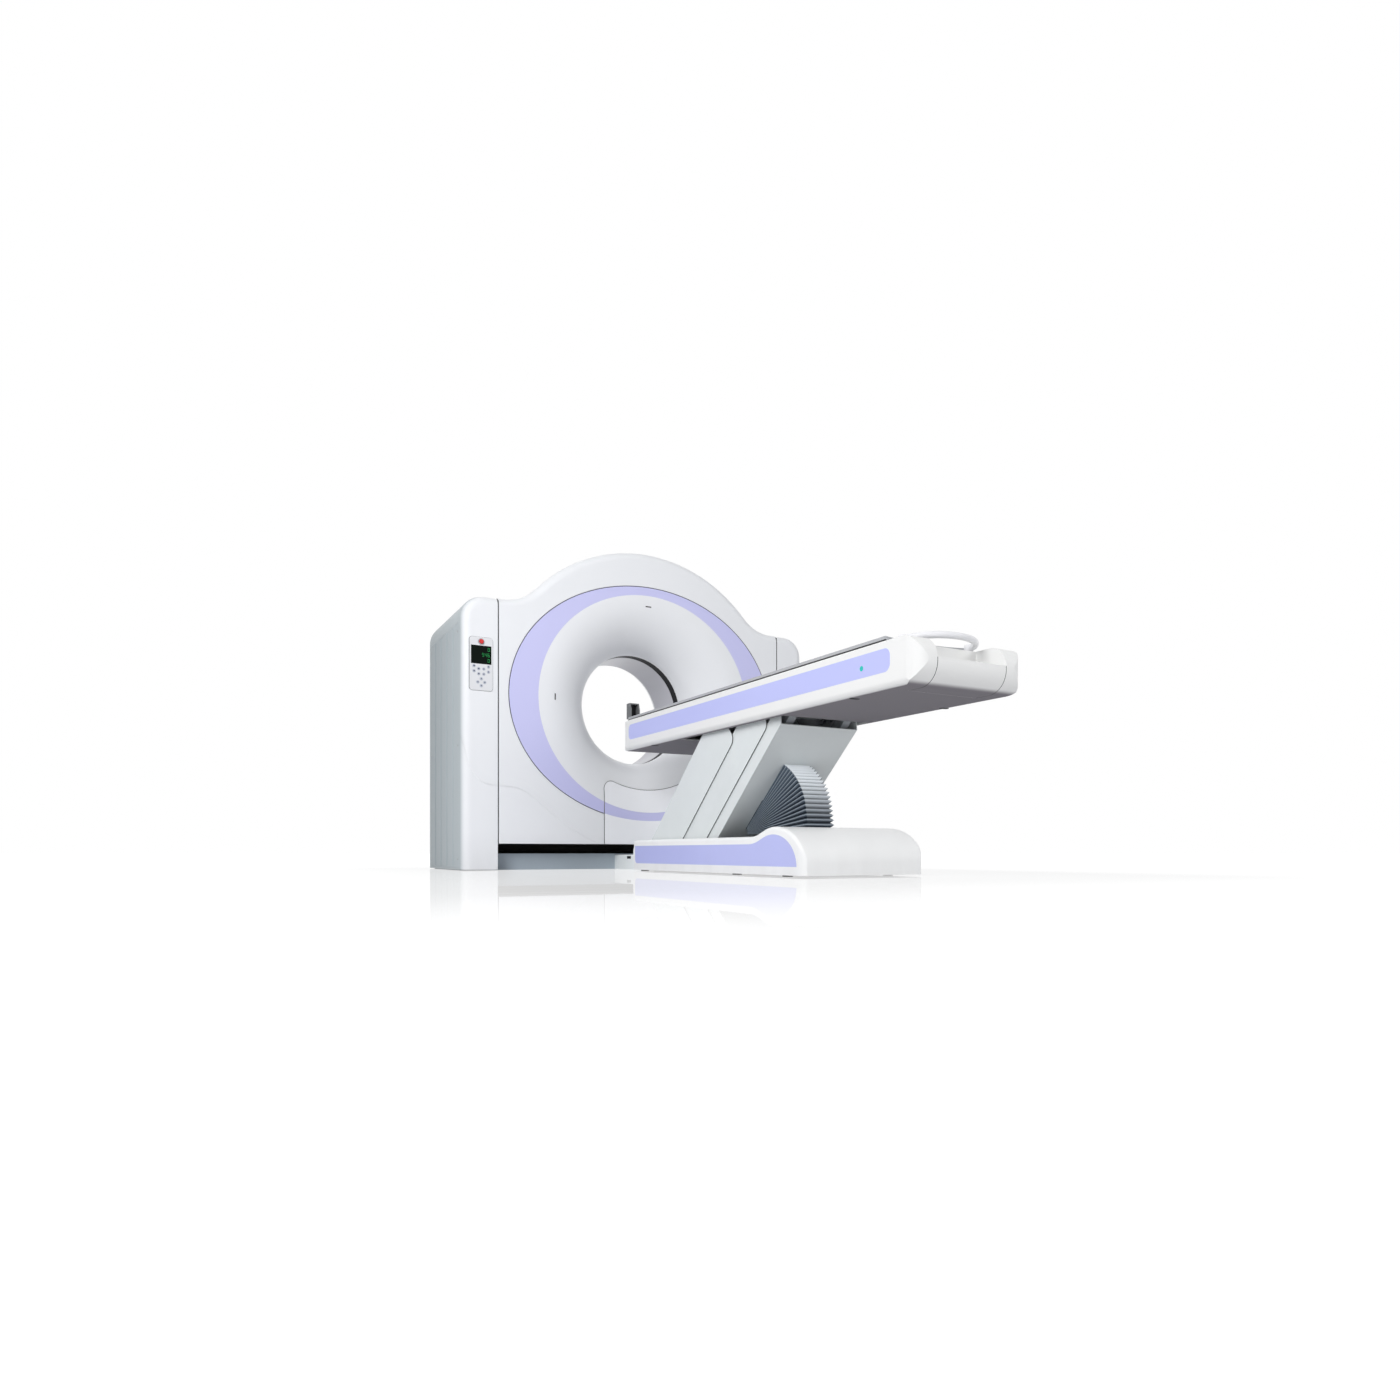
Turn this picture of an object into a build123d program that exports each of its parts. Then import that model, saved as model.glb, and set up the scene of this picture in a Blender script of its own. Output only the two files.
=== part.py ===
from build123d import *
from math import cos, pi, radians, sin, sqrt
import os

# CT scanner: a gantry that tilts between two fixed columns, with a ring inside that spins around the
# patient, and a table whose top rises on a parallelogram of arms and whose cradle slides into the bore.
# Millimetres. +X is to the right of someone who faces the gantry from the table, +Y runs from the
# table's foot into the gantry, +Z is up. The origin is on the floor, straight below the point where
# the bore's axis crosses the scan plane. The tilt axis passes through that same point.

# Gantry covers
bore_height = 1018.0
bore_radius = 350.0
mouth_radius = 665.0
funnel_depth = 240.0
front_depth = 300.0
rear_depth = 554.0
cover_half_width = 944.0
cover_bottom = 152.0
shoulder_height = 1558.0
shoulder_blend = 280.0
arch_radius = 970.0
arch_center_z = 985.0
edge_round = 50.0
cover_wall = 5.0
cover_seam = 4.0
swing_radius = 905.0
arch_headroom = 50.0
window_width = 66.0
window_recess = 1.0
seam_turn = 38.0

# Ring cover, lilac band and access panel on the front
ring_side_margin = 59.0
ring_half_height = 722.0
band_inner_share = 0.2045
band_inner_half_height = 671.0
band_depth = 1.0
access_half_width = 295.0
access_dip_z = 487.0
access_arc = 588.0
access_corner = 52.0
access_depth = 45.0
rebate_width = 12.0
rebate_wall = 3.5
seat_gap = 0.3
slit_length = 38.0
slit_width = 7.0
slit_radius = 606.0

# Columns
column_gap = 6.0
column_width = 205.0
column_top = 1555.0
column_bottom = 4.0
column_round = 130.0
panel_margin_y = 52.0
panel_foot = 14.0
panel_top_drop = 20.0
panel_gap = 0.8
rib_count = 4
rib_radius = 9.0
rib_rise = 3.5

# Steel base of the gantry
plinth_top = 95.0
plinth_setback = 112.0
plinth_wall = 12.0
plinth_web = 60.0
plinth_end_gap = 15.0
anchor_radius = 9.0
anchor_x = 540.0
anchor_inset = 48.0
upright_offset = 30.0
upright_thickness = 80.0
boss_radius = 118.0
bearing_outer = 88.0
trunnion_radius = 60.0
trunnion_hole = 72.0
trunnion_setback = 0.5
gearbox_radius = 105.0
gearbox_length = 70.0
spigot_radius = 34.0
spigot_length = 50.0
tilt_motor_radius = 52.0
tilt_motor_length = 210.0
running_gap = 0.1
fit_gap = 0.05

# Tilting frame and the spinning ring
frame_front = 60.0
frame_thickness = 80.0
frame_outer = 760.0
frame_arm_height = 260.0
frame_side_margin = 64.0
frame_side_thickness = 24.0
bracket_height = 60.0
rotor_front = 20.0
rotor_thickness = 30.0
rotor_outer = 720.0
rotor_inner = 372.0
hub_inner = 500.0
hub_outer = 558.0
hub_length = 58.0
rotor_hole_count = 12
rotor_hole_radius = 26.0
rotor_hole_circle = 455.0
slip_inner = 432.0
slip_length = 42.0
slip_track_count = 4
slip_track_depth = 3.0
tube_center = 545.0
tube_radius = 88.0
tube_length = 176.0
tube_cap_radius = 58.0
tube_cap_length = 22.0
collimator_height = 48.0
collimator_half_width = 120.0
collimator_length = 70.0
detector_inner = 930.0
detector_outer = 1000.0
detector_half_angle = 27.0
detector_length = 130.0
detector_module_angle = 6.0
rotor_box_center = 560.0
hv_height = 330.0
hv_depth = 140.0
rotor_box_width = 150.0
weight_height = 260.0
weight_depth = 90.0
motor_radius = 78.0
motor_length = 210.0
motor_center = 862.0
motor_lug_radius = 116.0
motor_angle = -45.0
pulley_radius = 60.0
motor_shaft_radius = 14.0
belt_thickness = 4.0

# Control panel on the left column
pad_center_in = 96.0
pad_center_z = 1165.0
pad_width = 132.0
pad_height = 300.0
pad_corner = 16.0
pad_rise = 4.0
pad_depth = 20.0
display_width = 116.0
display_height = 104.0
display_center_z = 1216.0
display_depth = 2.0
key_radius = 9.0
key_rise = 2.0
key_height = 7.0
key_travel = 1.2
key_gap = 0.4
outer_key_x = 41.0
inner_key_x = 14.5
key_row_z = 1151.0
key_row_step = 14.5
cross_center_z = 1061.0
cross_step = 19.5
stop_z = 1290.0
stop_radius = 13.0
stop_rise = 9.0
stop_travel = 4.0

# Floor duct and table base
base_gap = 444.0
duct_half_width = 180.0
duct_height = 88.0
duct_wall = 4.0
duct_round = 8.0
duct_slot_y = -404.0
duct_slot_z = 72.0
duct_slot_length = 34.0
duct_slot_height = 14.0
base_half_width = 319.0
base_length = 1656.0
base_under = 6.0
base_top = 170.0
hump_top = 210.0
hump_start = 1246.0
hump_length = 190.0
nose_height = 62.0
base_end_round = 45.0
base_nose_reach = 8.0
base_edge_round = 14.0
base_wall = 5.0
base_slot_half_width = 232.0
base_slot_start = 40.0
base_slot_end = 1006.0
base_stripe_margin = 26.0
base_stripe_foot = 42.0
base_stripe_top = 137.0
stripe_depth = 1.0
foot_radius = 22.0
foot_x = 270.0

# Parallelogram lift
arm_length = 936.0
lift_angle = 41.5
pivot_height = 110.0
front_pivot_back = 81.6
pivot_spacing = 553.4
mid_pivot_back = 402.4
arm_depth = 56.0
arm_x = 130.0
arm_width = 40.0
pin_radius = 16.0
pin_reach = 26.0
bracket_wall = 14.0
bracket_gap = 4.0
eye_radius = 30.0
cross_tube_radius = 18.0
leg_half_width = 222.0
leg_plate = 4.0
leg_plate_gap = 2.0
cover_foot_z = 165.0
front_cover_front = 60.0
front_cover_back = -186.0
front_cover_past = 69.0
front_plate_short = 56.0
mid_cover_front = 115.0
mid_cover_back = -82.0
mid_cover_short = 6.0
rear_cover_front = 30.0
rear_cover_back = -50.0
rear_cover_short = 46.0
leg_corner = 40.0
mid_rod_radius = 10.0

# Lift actuator
actuator_y = -1720.0
actuator_z = 60.0
actuator_reach = 280.0
actuator_lift = 30.0
actuator_radius = 28.0
actuator_length = 160.0
rod_radius = 15.0
rod_length = 173.5
rod_eye_radius = 24.0
rod_eye_width = 24.0
rod_slot_gap = 5.5
actuator_pin = 10.0

# Bellows between leg and base
bellows_along = 175.0
bellows_radius = 540.0
bellows_inner = 40.0
bellows_half_width = 77.0
bellows_fold = 12.0
bellows_wall = 6.0
bellows_low_angle = 1.6
bellows_pleats = 20

# Table top
pivot_above_bottom = 40.2
table_half_width = 265.0
table_height = 177.0
head_reach = 1035.6
foot_reach = 1472.0
head_round = 62.0
foot_round = 84.0
table_corner = 60.0
table_low_round = 26.0
table_top_bevel = 8.0
table_wall = 6.0
well_half_width = 232.0
well_front = 346.0
well_back = -604.0
well_height = 125.0
table_stripe_low = 61.0
table_stripe_high = 147.0
table_stripe_head = 97.0
table_stripe_foot = 455.0
beam_width = 18.0
beam_gap = 2.0
beam_foot = 14.0
deck_plate = 12.0
rail_half_width = 110.0
rail_inner = 55.0
rail_height = 18.0
notch_half_width = 168.0
notch_length = 150.0
notch_drop = 80.0
handle_radius = 12.0
handle_half_width = 150.0
handle_rise = 62.0

# Cradle
cradle_half_width = 215.0
cradle_thickness = 29.0
cradle_clearance = 4.0
cradle_dish = 10.0
cradle_foot_gap = 223.0
cradle_overhang = 135.0
cradle_nose = 130.0
cradle_tip = 6.0
cradle_travel = 1600.0
runner_end_gap = 8.0
runner_gap = 2.0
socket_width = 66.0
socket_depth = 58.0
socket_height = 84.0
socket_wall = 7.0
socket_back = 60.0

# Worked out from the above
front_y = -front_depth
rear_y = rear_depth
split_y = (front_y + rear_y) / 2
funnel_arc = ((mouth_radius - bore_radius) ** 2 + funnel_depth ** 2) / (2 * funnel_depth)
window_half = window_width / 2
column_inner = cover_half_width + column_gap
column_outer = column_inner + column_width
plinth_front = front_y + plinth_setback
plinth_back = rear_y - plinth_setback
bore_axis = Axis((0, 0, bore_height), (0, 1, 0))
upright_x = column_inner + upright_offset
trunnion_end = upright_x + upright_thickness - trunnion_setback
frame_side_x = cover_half_width - frame_side_margin
ring_half_width = cover_half_width - ring_side_margin
band_inner_half_width = mouth_radius + band_inner_share * (ring_half_width - mouth_radius)
pad_center_x = -(column_inner + pad_center_in)
front_cover_top = arm_length + front_cover_past
front_plate_top = arm_length - front_plate_short
mid_cover_top = arm_length - mid_cover_short
rear_cover_top = arm_length - rear_cover_short
base_front = front_y - base_gap
base_nose = base_front - base_length
slot_front = base_front - base_slot_start
slot_back = base_front - base_slot_end
lift_cos = cos(radians(lift_angle))
lift_sin = sin(radians(lift_angle))
front_pivot_y = base_front - front_pivot_back
mid_pivot_y = front_pivot_y - mid_pivot_back
rear_pivot_y = front_pivot_y - pivot_spacing
upper_shift = -arm_length * lift_cos
upper_z = pivot_height + arm_length * lift_sin
table_bottom = upper_z - pivot_above_bottom
table_top = table_bottom + table_height
head_y = front_pivot_y + upper_shift + head_reach
foot_y = front_pivot_y + upper_shift - foot_reach
well_front_y = front_pivot_y + upper_shift + well_front
well_back_y = front_pivot_y + upper_shift + well_back
deck_z = table_bottom + well_height
rail_top = deck_z + deck_plate + rail_height
cradle_bottom = table_top + cradle_clearance
cradle_top = cradle_bottom + cradle_thickness
cradle_head = head_y + cradle_overhang
cradle_foot = foot_y + cradle_foot_gap
bracket_outer = arm_x + arm_width + bracket_gap
bracket_inner = arm_x - bracket_gap


def facing(y):
    """Plane across the gantry at depth y, seen from the table: local x is X, local y is Z."""
    return Plane.XZ.offset(-y)


def arm_plane(pivot_y, x=0.0):
    """Side plane of a lift arm: local x runs up the arm from its lower pivot, local y off its top."""
    return Plane(origin=(x, pivot_y, pivot_height), x_dir=(0, -lift_cos, lift_sin), z_dir=(-1, 0, 0))


def cut_at_foot(offset):
    """Distance up the arm at which a line that far off the arm meets the leg covers' level foot."""
    return (cover_foot_z - pivot_height - offset * lift_cos) / lift_sin


def cover_block(inset, y_start, y_end, rounded_y):
    """Arched block of the tilting covers, every wall moved in by inset, its top edge rounded."""
    half_width = cover_half_width - inset
    shoulder = shoulder_height - inset
    with BuildPart() as block:
        with BuildSketch(facing(y_start)) as outline:
            with Locations((0, cover_bottom + inset)):
                Rectangle(2 * half_width, shoulder - cover_bottom - inset, align=(Align.CENTER, Align.MIN))
            with Locations((0, arch_center_z)):
                Circle(arch_radius - inset)
            with Locations((0, cover_bottom + inset)):
                Rectangle(2 * half_width, 2 * arch_radius, align=(Align.CENTER, Align.MIN), mode=Mode.INTERSECT)
            hollows = outline.vertices().filter_by(
                lambda v: abs(v.Y - shoulder) < 1 and abs(v.X) < half_width - 1
            )
            fillet(hollows, shoulder_blend + inset)
        extrude(amount=y_start - y_end)
        top_edges = block.edges().filter_by(
            lambda e: abs(e.center().Y - rounded_y) < 0.1 and e.center().Z > shoulder - 0.5
        )
        fillet(top_edges, edge_round - inset)
    return block.part


def swing_block(inset):
    """Side view of what the covers may fill, with the rear bottom cut to swing clear of the plinth."""
    radius = swing_radius - inset
    low = cover_bottom + inset
    back = rear_y - inset
    swing_top = arch_center_z + arch_radius + arch_headroom
    arc_start = sqrt(radius ** 2 - (bore_height - low) ** 2)
    arc_end_z = bore_height - sqrt(radius ** 2 - back ** 2)
    arc_mid_y = (arc_start + back) / 2
    arc_mid_z = bore_height - sqrt(radius ** 2 - arc_mid_y ** 2)
    with BuildPart() as block:
        with BuildSketch(Plane.YZ):
            with BuildLine():
                Polyline((back, arc_end_z), (back, swing_top), (front_y, swing_top),
                         (front_y, low), (arc_start, low))
                ThreePointArc((arc_start, low), (arc_mid_y, arc_mid_z), (back, arc_end_z))
            make_face()
        extrude(amount=cover_half_width + 1, both=True)
    return block.part


def funnel_profile(mouth_y, toward, lip):
    """Section of a flared mouth: an arc tangent to the face at mouth_y, then a straight lip on the bore."""
    throat_y = mouth_y + toward * funnel_depth
    seam_plane = Plane(origin=(0, 0, bore_height), x_dir=(0, 1, 0),
                       z_dir=(cos(radians(seam_turn)), 0, -sin(radians(seam_turn))))
    with BuildSketch(seam_plane) as profile:
        with Locations((mouth_y + toward * funnel_arc, mouth_radius)):
            Circle(funnel_arc)
            Circle(funnel_arc - cover_wall, mode=Mode.SUBTRACT)
        with Locations(((mouth_y + throat_y) / 2, (mouth_radius + bore_radius) / 2)):
            Rectangle(funnel_depth, mouth_radius - bore_radius, mode=Mode.INTERSECT)
        if lip:
            with Locations((throat_y + toward * lip / 2, bore_radius + cover_wall / 2)):
                Rectangle(lip, cover_wall)
    return profile.sketch


def front_skin():
    """The whole front shell with its flared mouth, before it is divided into covers."""
    with BuildPart() as skin:
        add(cover_block(0, front_y, split_y, front_y))
        add(cover_block(cover_wall, front_y + cover_wall, split_y, front_y + cover_wall), mode=Mode.SUBTRACT)
        with BuildSketch(facing(front_y)):
            with Locations((0, bore_height)):
                Circle(mouth_radius)
        extrude(amount=-cover_wall, mode=Mode.SUBTRACT)
        revolve(funnel_profile(front_y, 1, -window_half - front_y - funnel_depth), axis=bore_axis)
        for side in (-1, 1):
            with BuildSketch(Plane.YZ.offset(side * cover_half_width)):
                with Locations((0, bore_height)):
                    Circle(trunnion_hole)
            extrude(amount=-side * cover_wall, mode=Mode.SUBTRACT)
    return skin.part


def ring_zone(gap):
    """Oval prism that the ring cover is taken from, widened by gap."""
    with BuildPart() as zone:
        with BuildSketch(facing(front_y - 1)):
            with Locations((0, bore_height)):
                Ellipse(ring_half_width + gap, ring_half_height + gap)
        extrude(amount=front_y - 1 - split_y)
    return zone.part


def access_zone(gap):
    """Prism behind the lower service panel: straight sides, and a top that peaks near its corners."""
    with BuildPart() as zone:
        half_width = access_half_width + gap
        foot = cover_bottom - gap - 1
        side_top = access_dip_z + access_arc - sqrt((access_arc - gap) ** 2 - half_width ** 2)
        with BuildSketch(facing(front_y - 1)) as outline:
            with BuildLine():
                Polyline((-half_width, side_top), (-half_width, foot), (half_width, foot), (half_width, side_top))
                ThreePointArc((-half_width, side_top), (0, access_dip_z + gap), (half_width, side_top))
            make_face()
            fillet(outline.vertices().sort_by(Axis.Y)[-2:], access_corner + gap)
        extrude(amount=-access_depth)
    return zone.part


def crescent():
    """The lilac band between two ovals, as deep as its inlay."""
    with BuildPart() as band:
        with BuildSketch(facing(front_y)):
            with Locations((0, bore_height)):
                Ellipse(ring_half_width, ring_half_height)
                Ellipse(band_inner_half_width, band_inner_half_height, mode=Mode.SUBTRACT)
        extrude(amount=-band_depth)
    return band.part


def slit_blocks():
    """Three slits for the positioning beams: above the bore and to both sides."""
    depth = funnel_arc - sqrt(funnel_arc ** 2 - (mouth_radius - slit_radius) ** 2)
    with BuildPart() as slits:
        with Locations((0, front_y + depth + cover_wall / 2 - 1, bore_height + slit_radius)):
            Box(slit_length, cover_wall, slit_width)
        with Locations(*[(side * slit_radius, front_y + depth + cover_wall / 2 - 1, bore_height) for side in (-1, 1)]):
            Box(slit_width, cover_wall, slit_length)
    return slits.part


def column_block(inset):
    """Right-hand column as a solid, every wall but the open foot moved in by inset."""
    width = column_width - 2 * inset
    with BuildPart() as block:
        with BuildSketch(facing(front_y + inset)) as outline:
            with Locations((column_inner + inset, column_bottom)):
                Rectangle(width, column_top - inset - column_bottom, align=(Align.MIN, Align.MIN))
            outer_top = outline.vertices().sort_by(Axis.Y)[-2:].sort_by(Axis.X)[-1]
            fillet(outer_top, column_round - inset)
        extrude(amount=front_y - rear_y + 2 * inset)
        rim = block.edges().filter_by(
            lambda e: (abs(e.center().Y - front_y - inset) < 0.1 or abs(e.center().Y - rear_y + inset) < 0.1)
            and e.center().X > column_inner + inset + 1 and e.center().Z > column_bottom + 1
        )
        fillet(rim, edge_round - inset)
    return block.part


def column_shell():
    """Right-hand column cover: open foot, window for the side panel, holes for trunnion and plinth."""
    panel_top = column_top - column_round - panel_top_drop
    with BuildPart() as shell:
        add(column_block(0))
        add(column_block(cover_wall), mode=Mode.SUBTRACT)
        with BuildSketch(Plane.YZ.offset(column_outer)):
            with Locations((split_y, (panel_foot + panel_top) / 2)):
                Rectangle(rear_y - front_y - 2 * panel_margin_y, panel_top - panel_foot)
        extrude(amount=-cover_wall, mode=Mode.SUBTRACT)
        with BuildSketch(Plane.YZ.offset(column_inner)):
            with Locations((0, bore_height)):
                Circle(trunnion_hole)
            with Locations((split_y, column_bottom)):
                Rectangle(plinth_back - plinth_front + 2 * panel_gap, plinth_top + panel_gap - column_bottom,
                          align=(Align.CENTER, Align.MIN))
        extrude(amount=cover_wall, mode=Mode.SUBTRACT)
    return shell.part


def key_places():
    """Centres of the round keys on the control panel: four staggered rows over a cross of four."""
    rows = [(outer_key_x, 0), (inner_key_x, 1), (outer_key_x, 2), (inner_key_x, 3)]
    places = [(side * x, key_row_z - step * key_row_step) for x, step in rows for side in (-1, 1)]
    cross = [(0, cross_step), (-cross_step, 0), (cross_step, 0), (0, -cross_step)]
    places += [(x, cross_center_z + z) for x, z in cross]
    return [(pad_center_x + x, z) for x, z in places]


def base_outline(inset):
    """Side view of the table base: square head end, level top, a hump and a long rounded nose."""
    front = base_front - inset
    under = base_under if inset == 0 else base_under - 1
    top = base_top - inset
    crest_y = base_front - hump_start - hump_length
    crest = hump_top - inset
    nose = base_nose + inset
    with BuildSketch(Plane.YZ) as outline:
        with BuildLine():
            Polyline((nose, nose_height), (nose, under), (front, under), (front, top),
                     (base_front - hump_start, top))
            Spline((base_front - hump_start, top), (crest_y, crest), tangents=((-1, 0), (-1, 0)))
            EllipticalCenterArc((crest_y, nose_height), crest_y - nose, crest - nose_height,
                                start_angle=90, arc_size=90)
        make_face()
    return outline.sketch


def base_block(inset):
    """Table base as a solid, with its head end and nose rounded in plan."""
    with BuildPart() as block:
        extrude(base_outline(inset), amount=base_half_width - inset, both=True)
        with BuildSketch(Plane.XY):
            with Locations((0, (base_front + base_nose - base_nose_reach) / 2)):
                RectangleRounded(2 * (base_half_width - inset), base_length + base_nose_reach - 2 * inset,
                                 base_end_round - inset)
        extrude(amount=hump_top + 1, mode=Mode.INTERSECT)
    return block.part


def bent_plates(pivot_y, x_outer, outline_points, corner):
    """A pair of flat side plates of the leg, each with its upper rear corner rounded."""
    with BuildPart() as plates:
        with BuildSketch(arm_plane(pivot_y, x_outer)) as outline:
            Polygon(*outline_points, align=None)
            fillet(outline.vertices().sort_by_distance(corner)[0], leg_corner)
        extrude(amount=leg_plate)
        mirror(about=Plane.YZ)
    return plates.part


def cross_plate(pivot_y, half_width, low, high, top):
    """A plate across the leg between two distances off the arm, from the foot up to top."""
    with BuildPart() as plate:
        with BuildSketch(arm_plane(pivot_y)):
            Polygon((cut_at_foot(low), low), (top, low), (top, high), (cut_at_foot(high), high), align=None)
        extrude(amount=half_width, both=True)
    return plate.part


def lift_arm(pivot_y, upper_pin, boss_low, boss_high):
    """Two side arms with pins at their pivots, joined by tubes, with bosses that carry a leg cover."""
    with BuildPart() as arm:
        with BuildSketch(arm_plane(pivot_y, arm_x + arm_width)):
            with Locations((arm_length / 2, 0)):
                SlotCenterToCenter(arm_length, arm_depth)
        extrude(amount=arm_width)
        for along in (200, 620):
            with BuildSketch(arm_plane(pivot_y, arm_x + arm_width)):
                with Locations((along, (boss_low + boss_high) / 2)):
                    Rectangle(60, boss_high - boss_low)
            extrude(amount=arm_width)
        pins = [0, arm_length] if upper_pin else [0]
        with BuildSketch(arm_plane(pivot_y, arm_x + arm_width + pin_reach)):
            with Locations(*[(along, 0) for along in pins]):
                Circle(pin_radius)
        extrude(amount=arm_width + 2 * pin_reach)
        if not upper_pin:
            with BuildSketch(arm_plane(pivot_y, arm_x + arm_width)):
                with Locations((arm_length, 0)):
                    Circle(pin_radius + rod_slot_gap)
            extrude(amount=arm_width, mode=Mode.SUBTRACT)
        mirror(about=Plane.YZ)
        with BuildSketch(arm_plane(pivot_y)):
            with Locations((arm_length * 0.62, 0)):
                Circle(cross_tube_radius)
        extrude(amount=arm_x, both=True)
    return arm.part


def pivot_bracket(pivot_y, z, x, foot_z, toward, radius):
    """Bracket wall that holds a pivot pin, from foot_z to a round eye at the pin's height."""
    with BuildPart() as bracket:
        with BuildSketch(Plane.YZ.offset(x)):
            with Locations((pivot_y, z)):
                Circle(eye_radius)
            with Locations((pivot_y, (foot_z + z) / 2)):
                Rectangle(2 * eye_radius, toward * (z - foot_z))
            if radius:
                with Locations((pivot_y, z)):
                    Circle(radius + running_gap, mode=Mode.SUBTRACT)
        extrude(amount=bracket_wall)
    return bracket.part


def table_outline(inset):
    """Side view of the table top's housing with rounded head and foot ends."""
    with BuildSketch(Plane.YZ) as outline:
        with Locations(((head_y + foot_y) / 2, (table_bottom + table_top) / 2)):
            Rectangle(head_y - foot_y - 2 * inset, table_height - 2 * inset)
        corners = outline.vertices().sort_by(Axis.X)
        fillet(corners[:2], foot_round - inset)
        fillet(outline.vertices().sort_by(Axis.X)[-2:], head_round - inset)
    return outline.sketch


def table_block(inset):
    """Table housing as a solid, rounded in plan and along its long edges."""
    half_width = table_half_width - inset
    with BuildPart() as block:
        with BuildSketch(facing(head_y - inset)) as section:
            with Locations((0, table_bottom + inset)):
                Rectangle(2 * half_width, table_height - 2 * inset, align=(Align.CENTER, Align.MIN))
            fillet(section.vertices().sort_by(Axis.Y)[:2], table_low_round - inset)
            chamfer(section.vertices().sort_by(Axis.Y)[-2:], table_top_bevel - inset / 2)
        extrude(amount=head_y - foot_y - 2 * inset)
        extrude(table_outline(inset), amount=half_width, both=True, mode=Mode.INTERSECT)
        with BuildSketch(Plane.XY.offset(table_bottom)):
            with Locations((0, (head_y + foot_y) / 2)):
                RectangleRounded(2 * half_width, head_y - foot_y - 2 * inset, table_corner - inset)
        extrude(amount=table_height, mode=Mode.INTERSECT)
    return block.part


def pleat(plane, half_width, reach):
    """Rectangle of a bellows leaf on a plane that holds the hinge line."""
    with BuildSketch(plane) as leaf:
        with Locations(((bellows_inner + reach) / 2, 0)):
            Rectangle(reach - bellows_inner, 2 * half_width)
    return leaf.sketch


os.makedirs("parts", exist_ok=True)

# Steel base of the gantry: a ribbed plinth with two uprights that hold the tilt bearings
with BuildPart() as gantry_base:
    half_plinth = column_outer - plinth_end_gap
    with BuildSketch(Plane.XY):
        with Locations((0, split_y)):
            Rectangle(2 * half_plinth, plinth_back - plinth_front)
    extrude(amount=plinth_top)
    pocket_length = anchor_x - plinth_web
    outer_length = half_plinth - plinth_wall - anchor_x - plinth_web / 2
    with BuildSketch(Plane.XY):
        with Locations(*[(side * anchor_x / 2, split_y) for side in (-1, 1)]):
            Rectangle(pocket_length, plinth_back - plinth_front - 2 * plinth_wall)
        outer_x = anchor_x + plinth_web / 2 + outer_length / 2
        with Locations(*[(side * outer_x, split_y) for side in (-1, 1)]):
            Rectangle(outer_length, plinth_back - plinth_front - 2 * plinth_wall)
    extrude(amount=plinth_top - plinth_wall, mode=Mode.SUBTRACT)
    with BuildSketch(Plane.XY):
        with Locations(*[(sx * anchor_x, y) for sx in (-1, 1)
                         for y in (plinth_front + anchor_inset, plinth_back - anchor_inset)]):
            Circle(anchor_radius)
    extrude(amount=plinth_top, mode=Mode.SUBTRACT)
    for side in (-1, 1):
        with BuildSketch(Plane.YZ.offset(side * upright_x)):
            with BuildLine():
                Polyline((plinth_front + 30, plinth_top), (-boss_radius, bore_height),
                         (boss_radius, bore_height), (plinth_back - 30, plinth_top), close=True)
            make_face()
            with Locations((0, bore_height)):
                Circle(boss_radius)
            with BuildLine():
                Polyline((plinth_front + 110, plinth_top + 60), (-30, bore_height - 200),
                         (60, bore_height - 200), (plinth_back - 190, plinth_top + 60), close=True)
            make_face(mode=Mode.SUBTRACT)
            with Locations((0, bore_height)):
                Circle(bearing_outer + fit_gap, mode=Mode.SUBTRACT)
        extrude(amount=side * upright_thickness)
gantry_base.part.label = "gantry_base"
export_step(gantry_base.part, "parts/gantry_base.step")

with BuildPart() as trunnion_bearings:
    with BuildSketch(Plane.YZ.offset(upright_x)):
        with Locations((0, bore_height)):
            Circle(bearing_outer)
            Circle(trunnion_radius + running_gap, mode=Mode.SUBTRACT)
    extrude(amount=upright_thickness)
    mirror(about=Plane.YZ)
trunnion_bearings.part.label = "trunnion_bearings"
export_step(trunnion_bearings.part, "parts/trunnion_bearings.step")

gearbox_x = -(upright_x + upright_thickness)
with BuildPart() as tilt_gearmotor:
    with BuildSketch(Plane.YZ.offset(gearbox_x)):
        with Locations((0, bore_height)):
            Circle(gearbox_radius)
            Circle(spigot_radius + running_gap, mode=Mode.SUBTRACT)
    extrude(amount=-gearbox_length)
    with BuildSketch(Plane.XY.offset(bore_height - gearbox_radius + 12)):
        with Locations((gearbox_x - gearbox_length / 2, 0)):
            Circle(gearbox_length / 2 - 4)
    extrude(amount=-40)
    with BuildSketch(Plane.XY.offset(bore_height - gearbox_radius - 28)):
        with Locations((gearbox_x - tilt_motor_radius + 14, 0)):
            Circle(tilt_motor_radius - 16)
    extrude(amount=-tilt_motor_length)
tilt_gearmotor.part.label = "tilt_gearmotor"
export_step(tilt_gearmotor.part, "parts/tilt_gearmotor.step")

# Column covers and their ribbed side panels
with BuildPart() as right_column_cover:
    add(column_shell())
right_column_cover.part.label = "right_column_cover"
export_step(right_column_cover.part, "parts/right_column_cover.step")

with BuildPart() as left_column_cover:
    add(column_shell())
    mirror(about=Plane.YZ, mode=Mode.REPLACE)
    with BuildSketch(facing(front_y)):
        with Locations((pad_center_x, pad_center_z)):
            RectangleRounded(pad_width - 2 * pad_corner, pad_height - 2 * pad_corner, pad_corner / 2)
    extrude(amount=-cover_wall, mode=Mode.SUBTRACT)
left_column_cover.part.label = "left_column_cover"
export_step(left_column_cover.part, "parts/left_column_cover.step")

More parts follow.
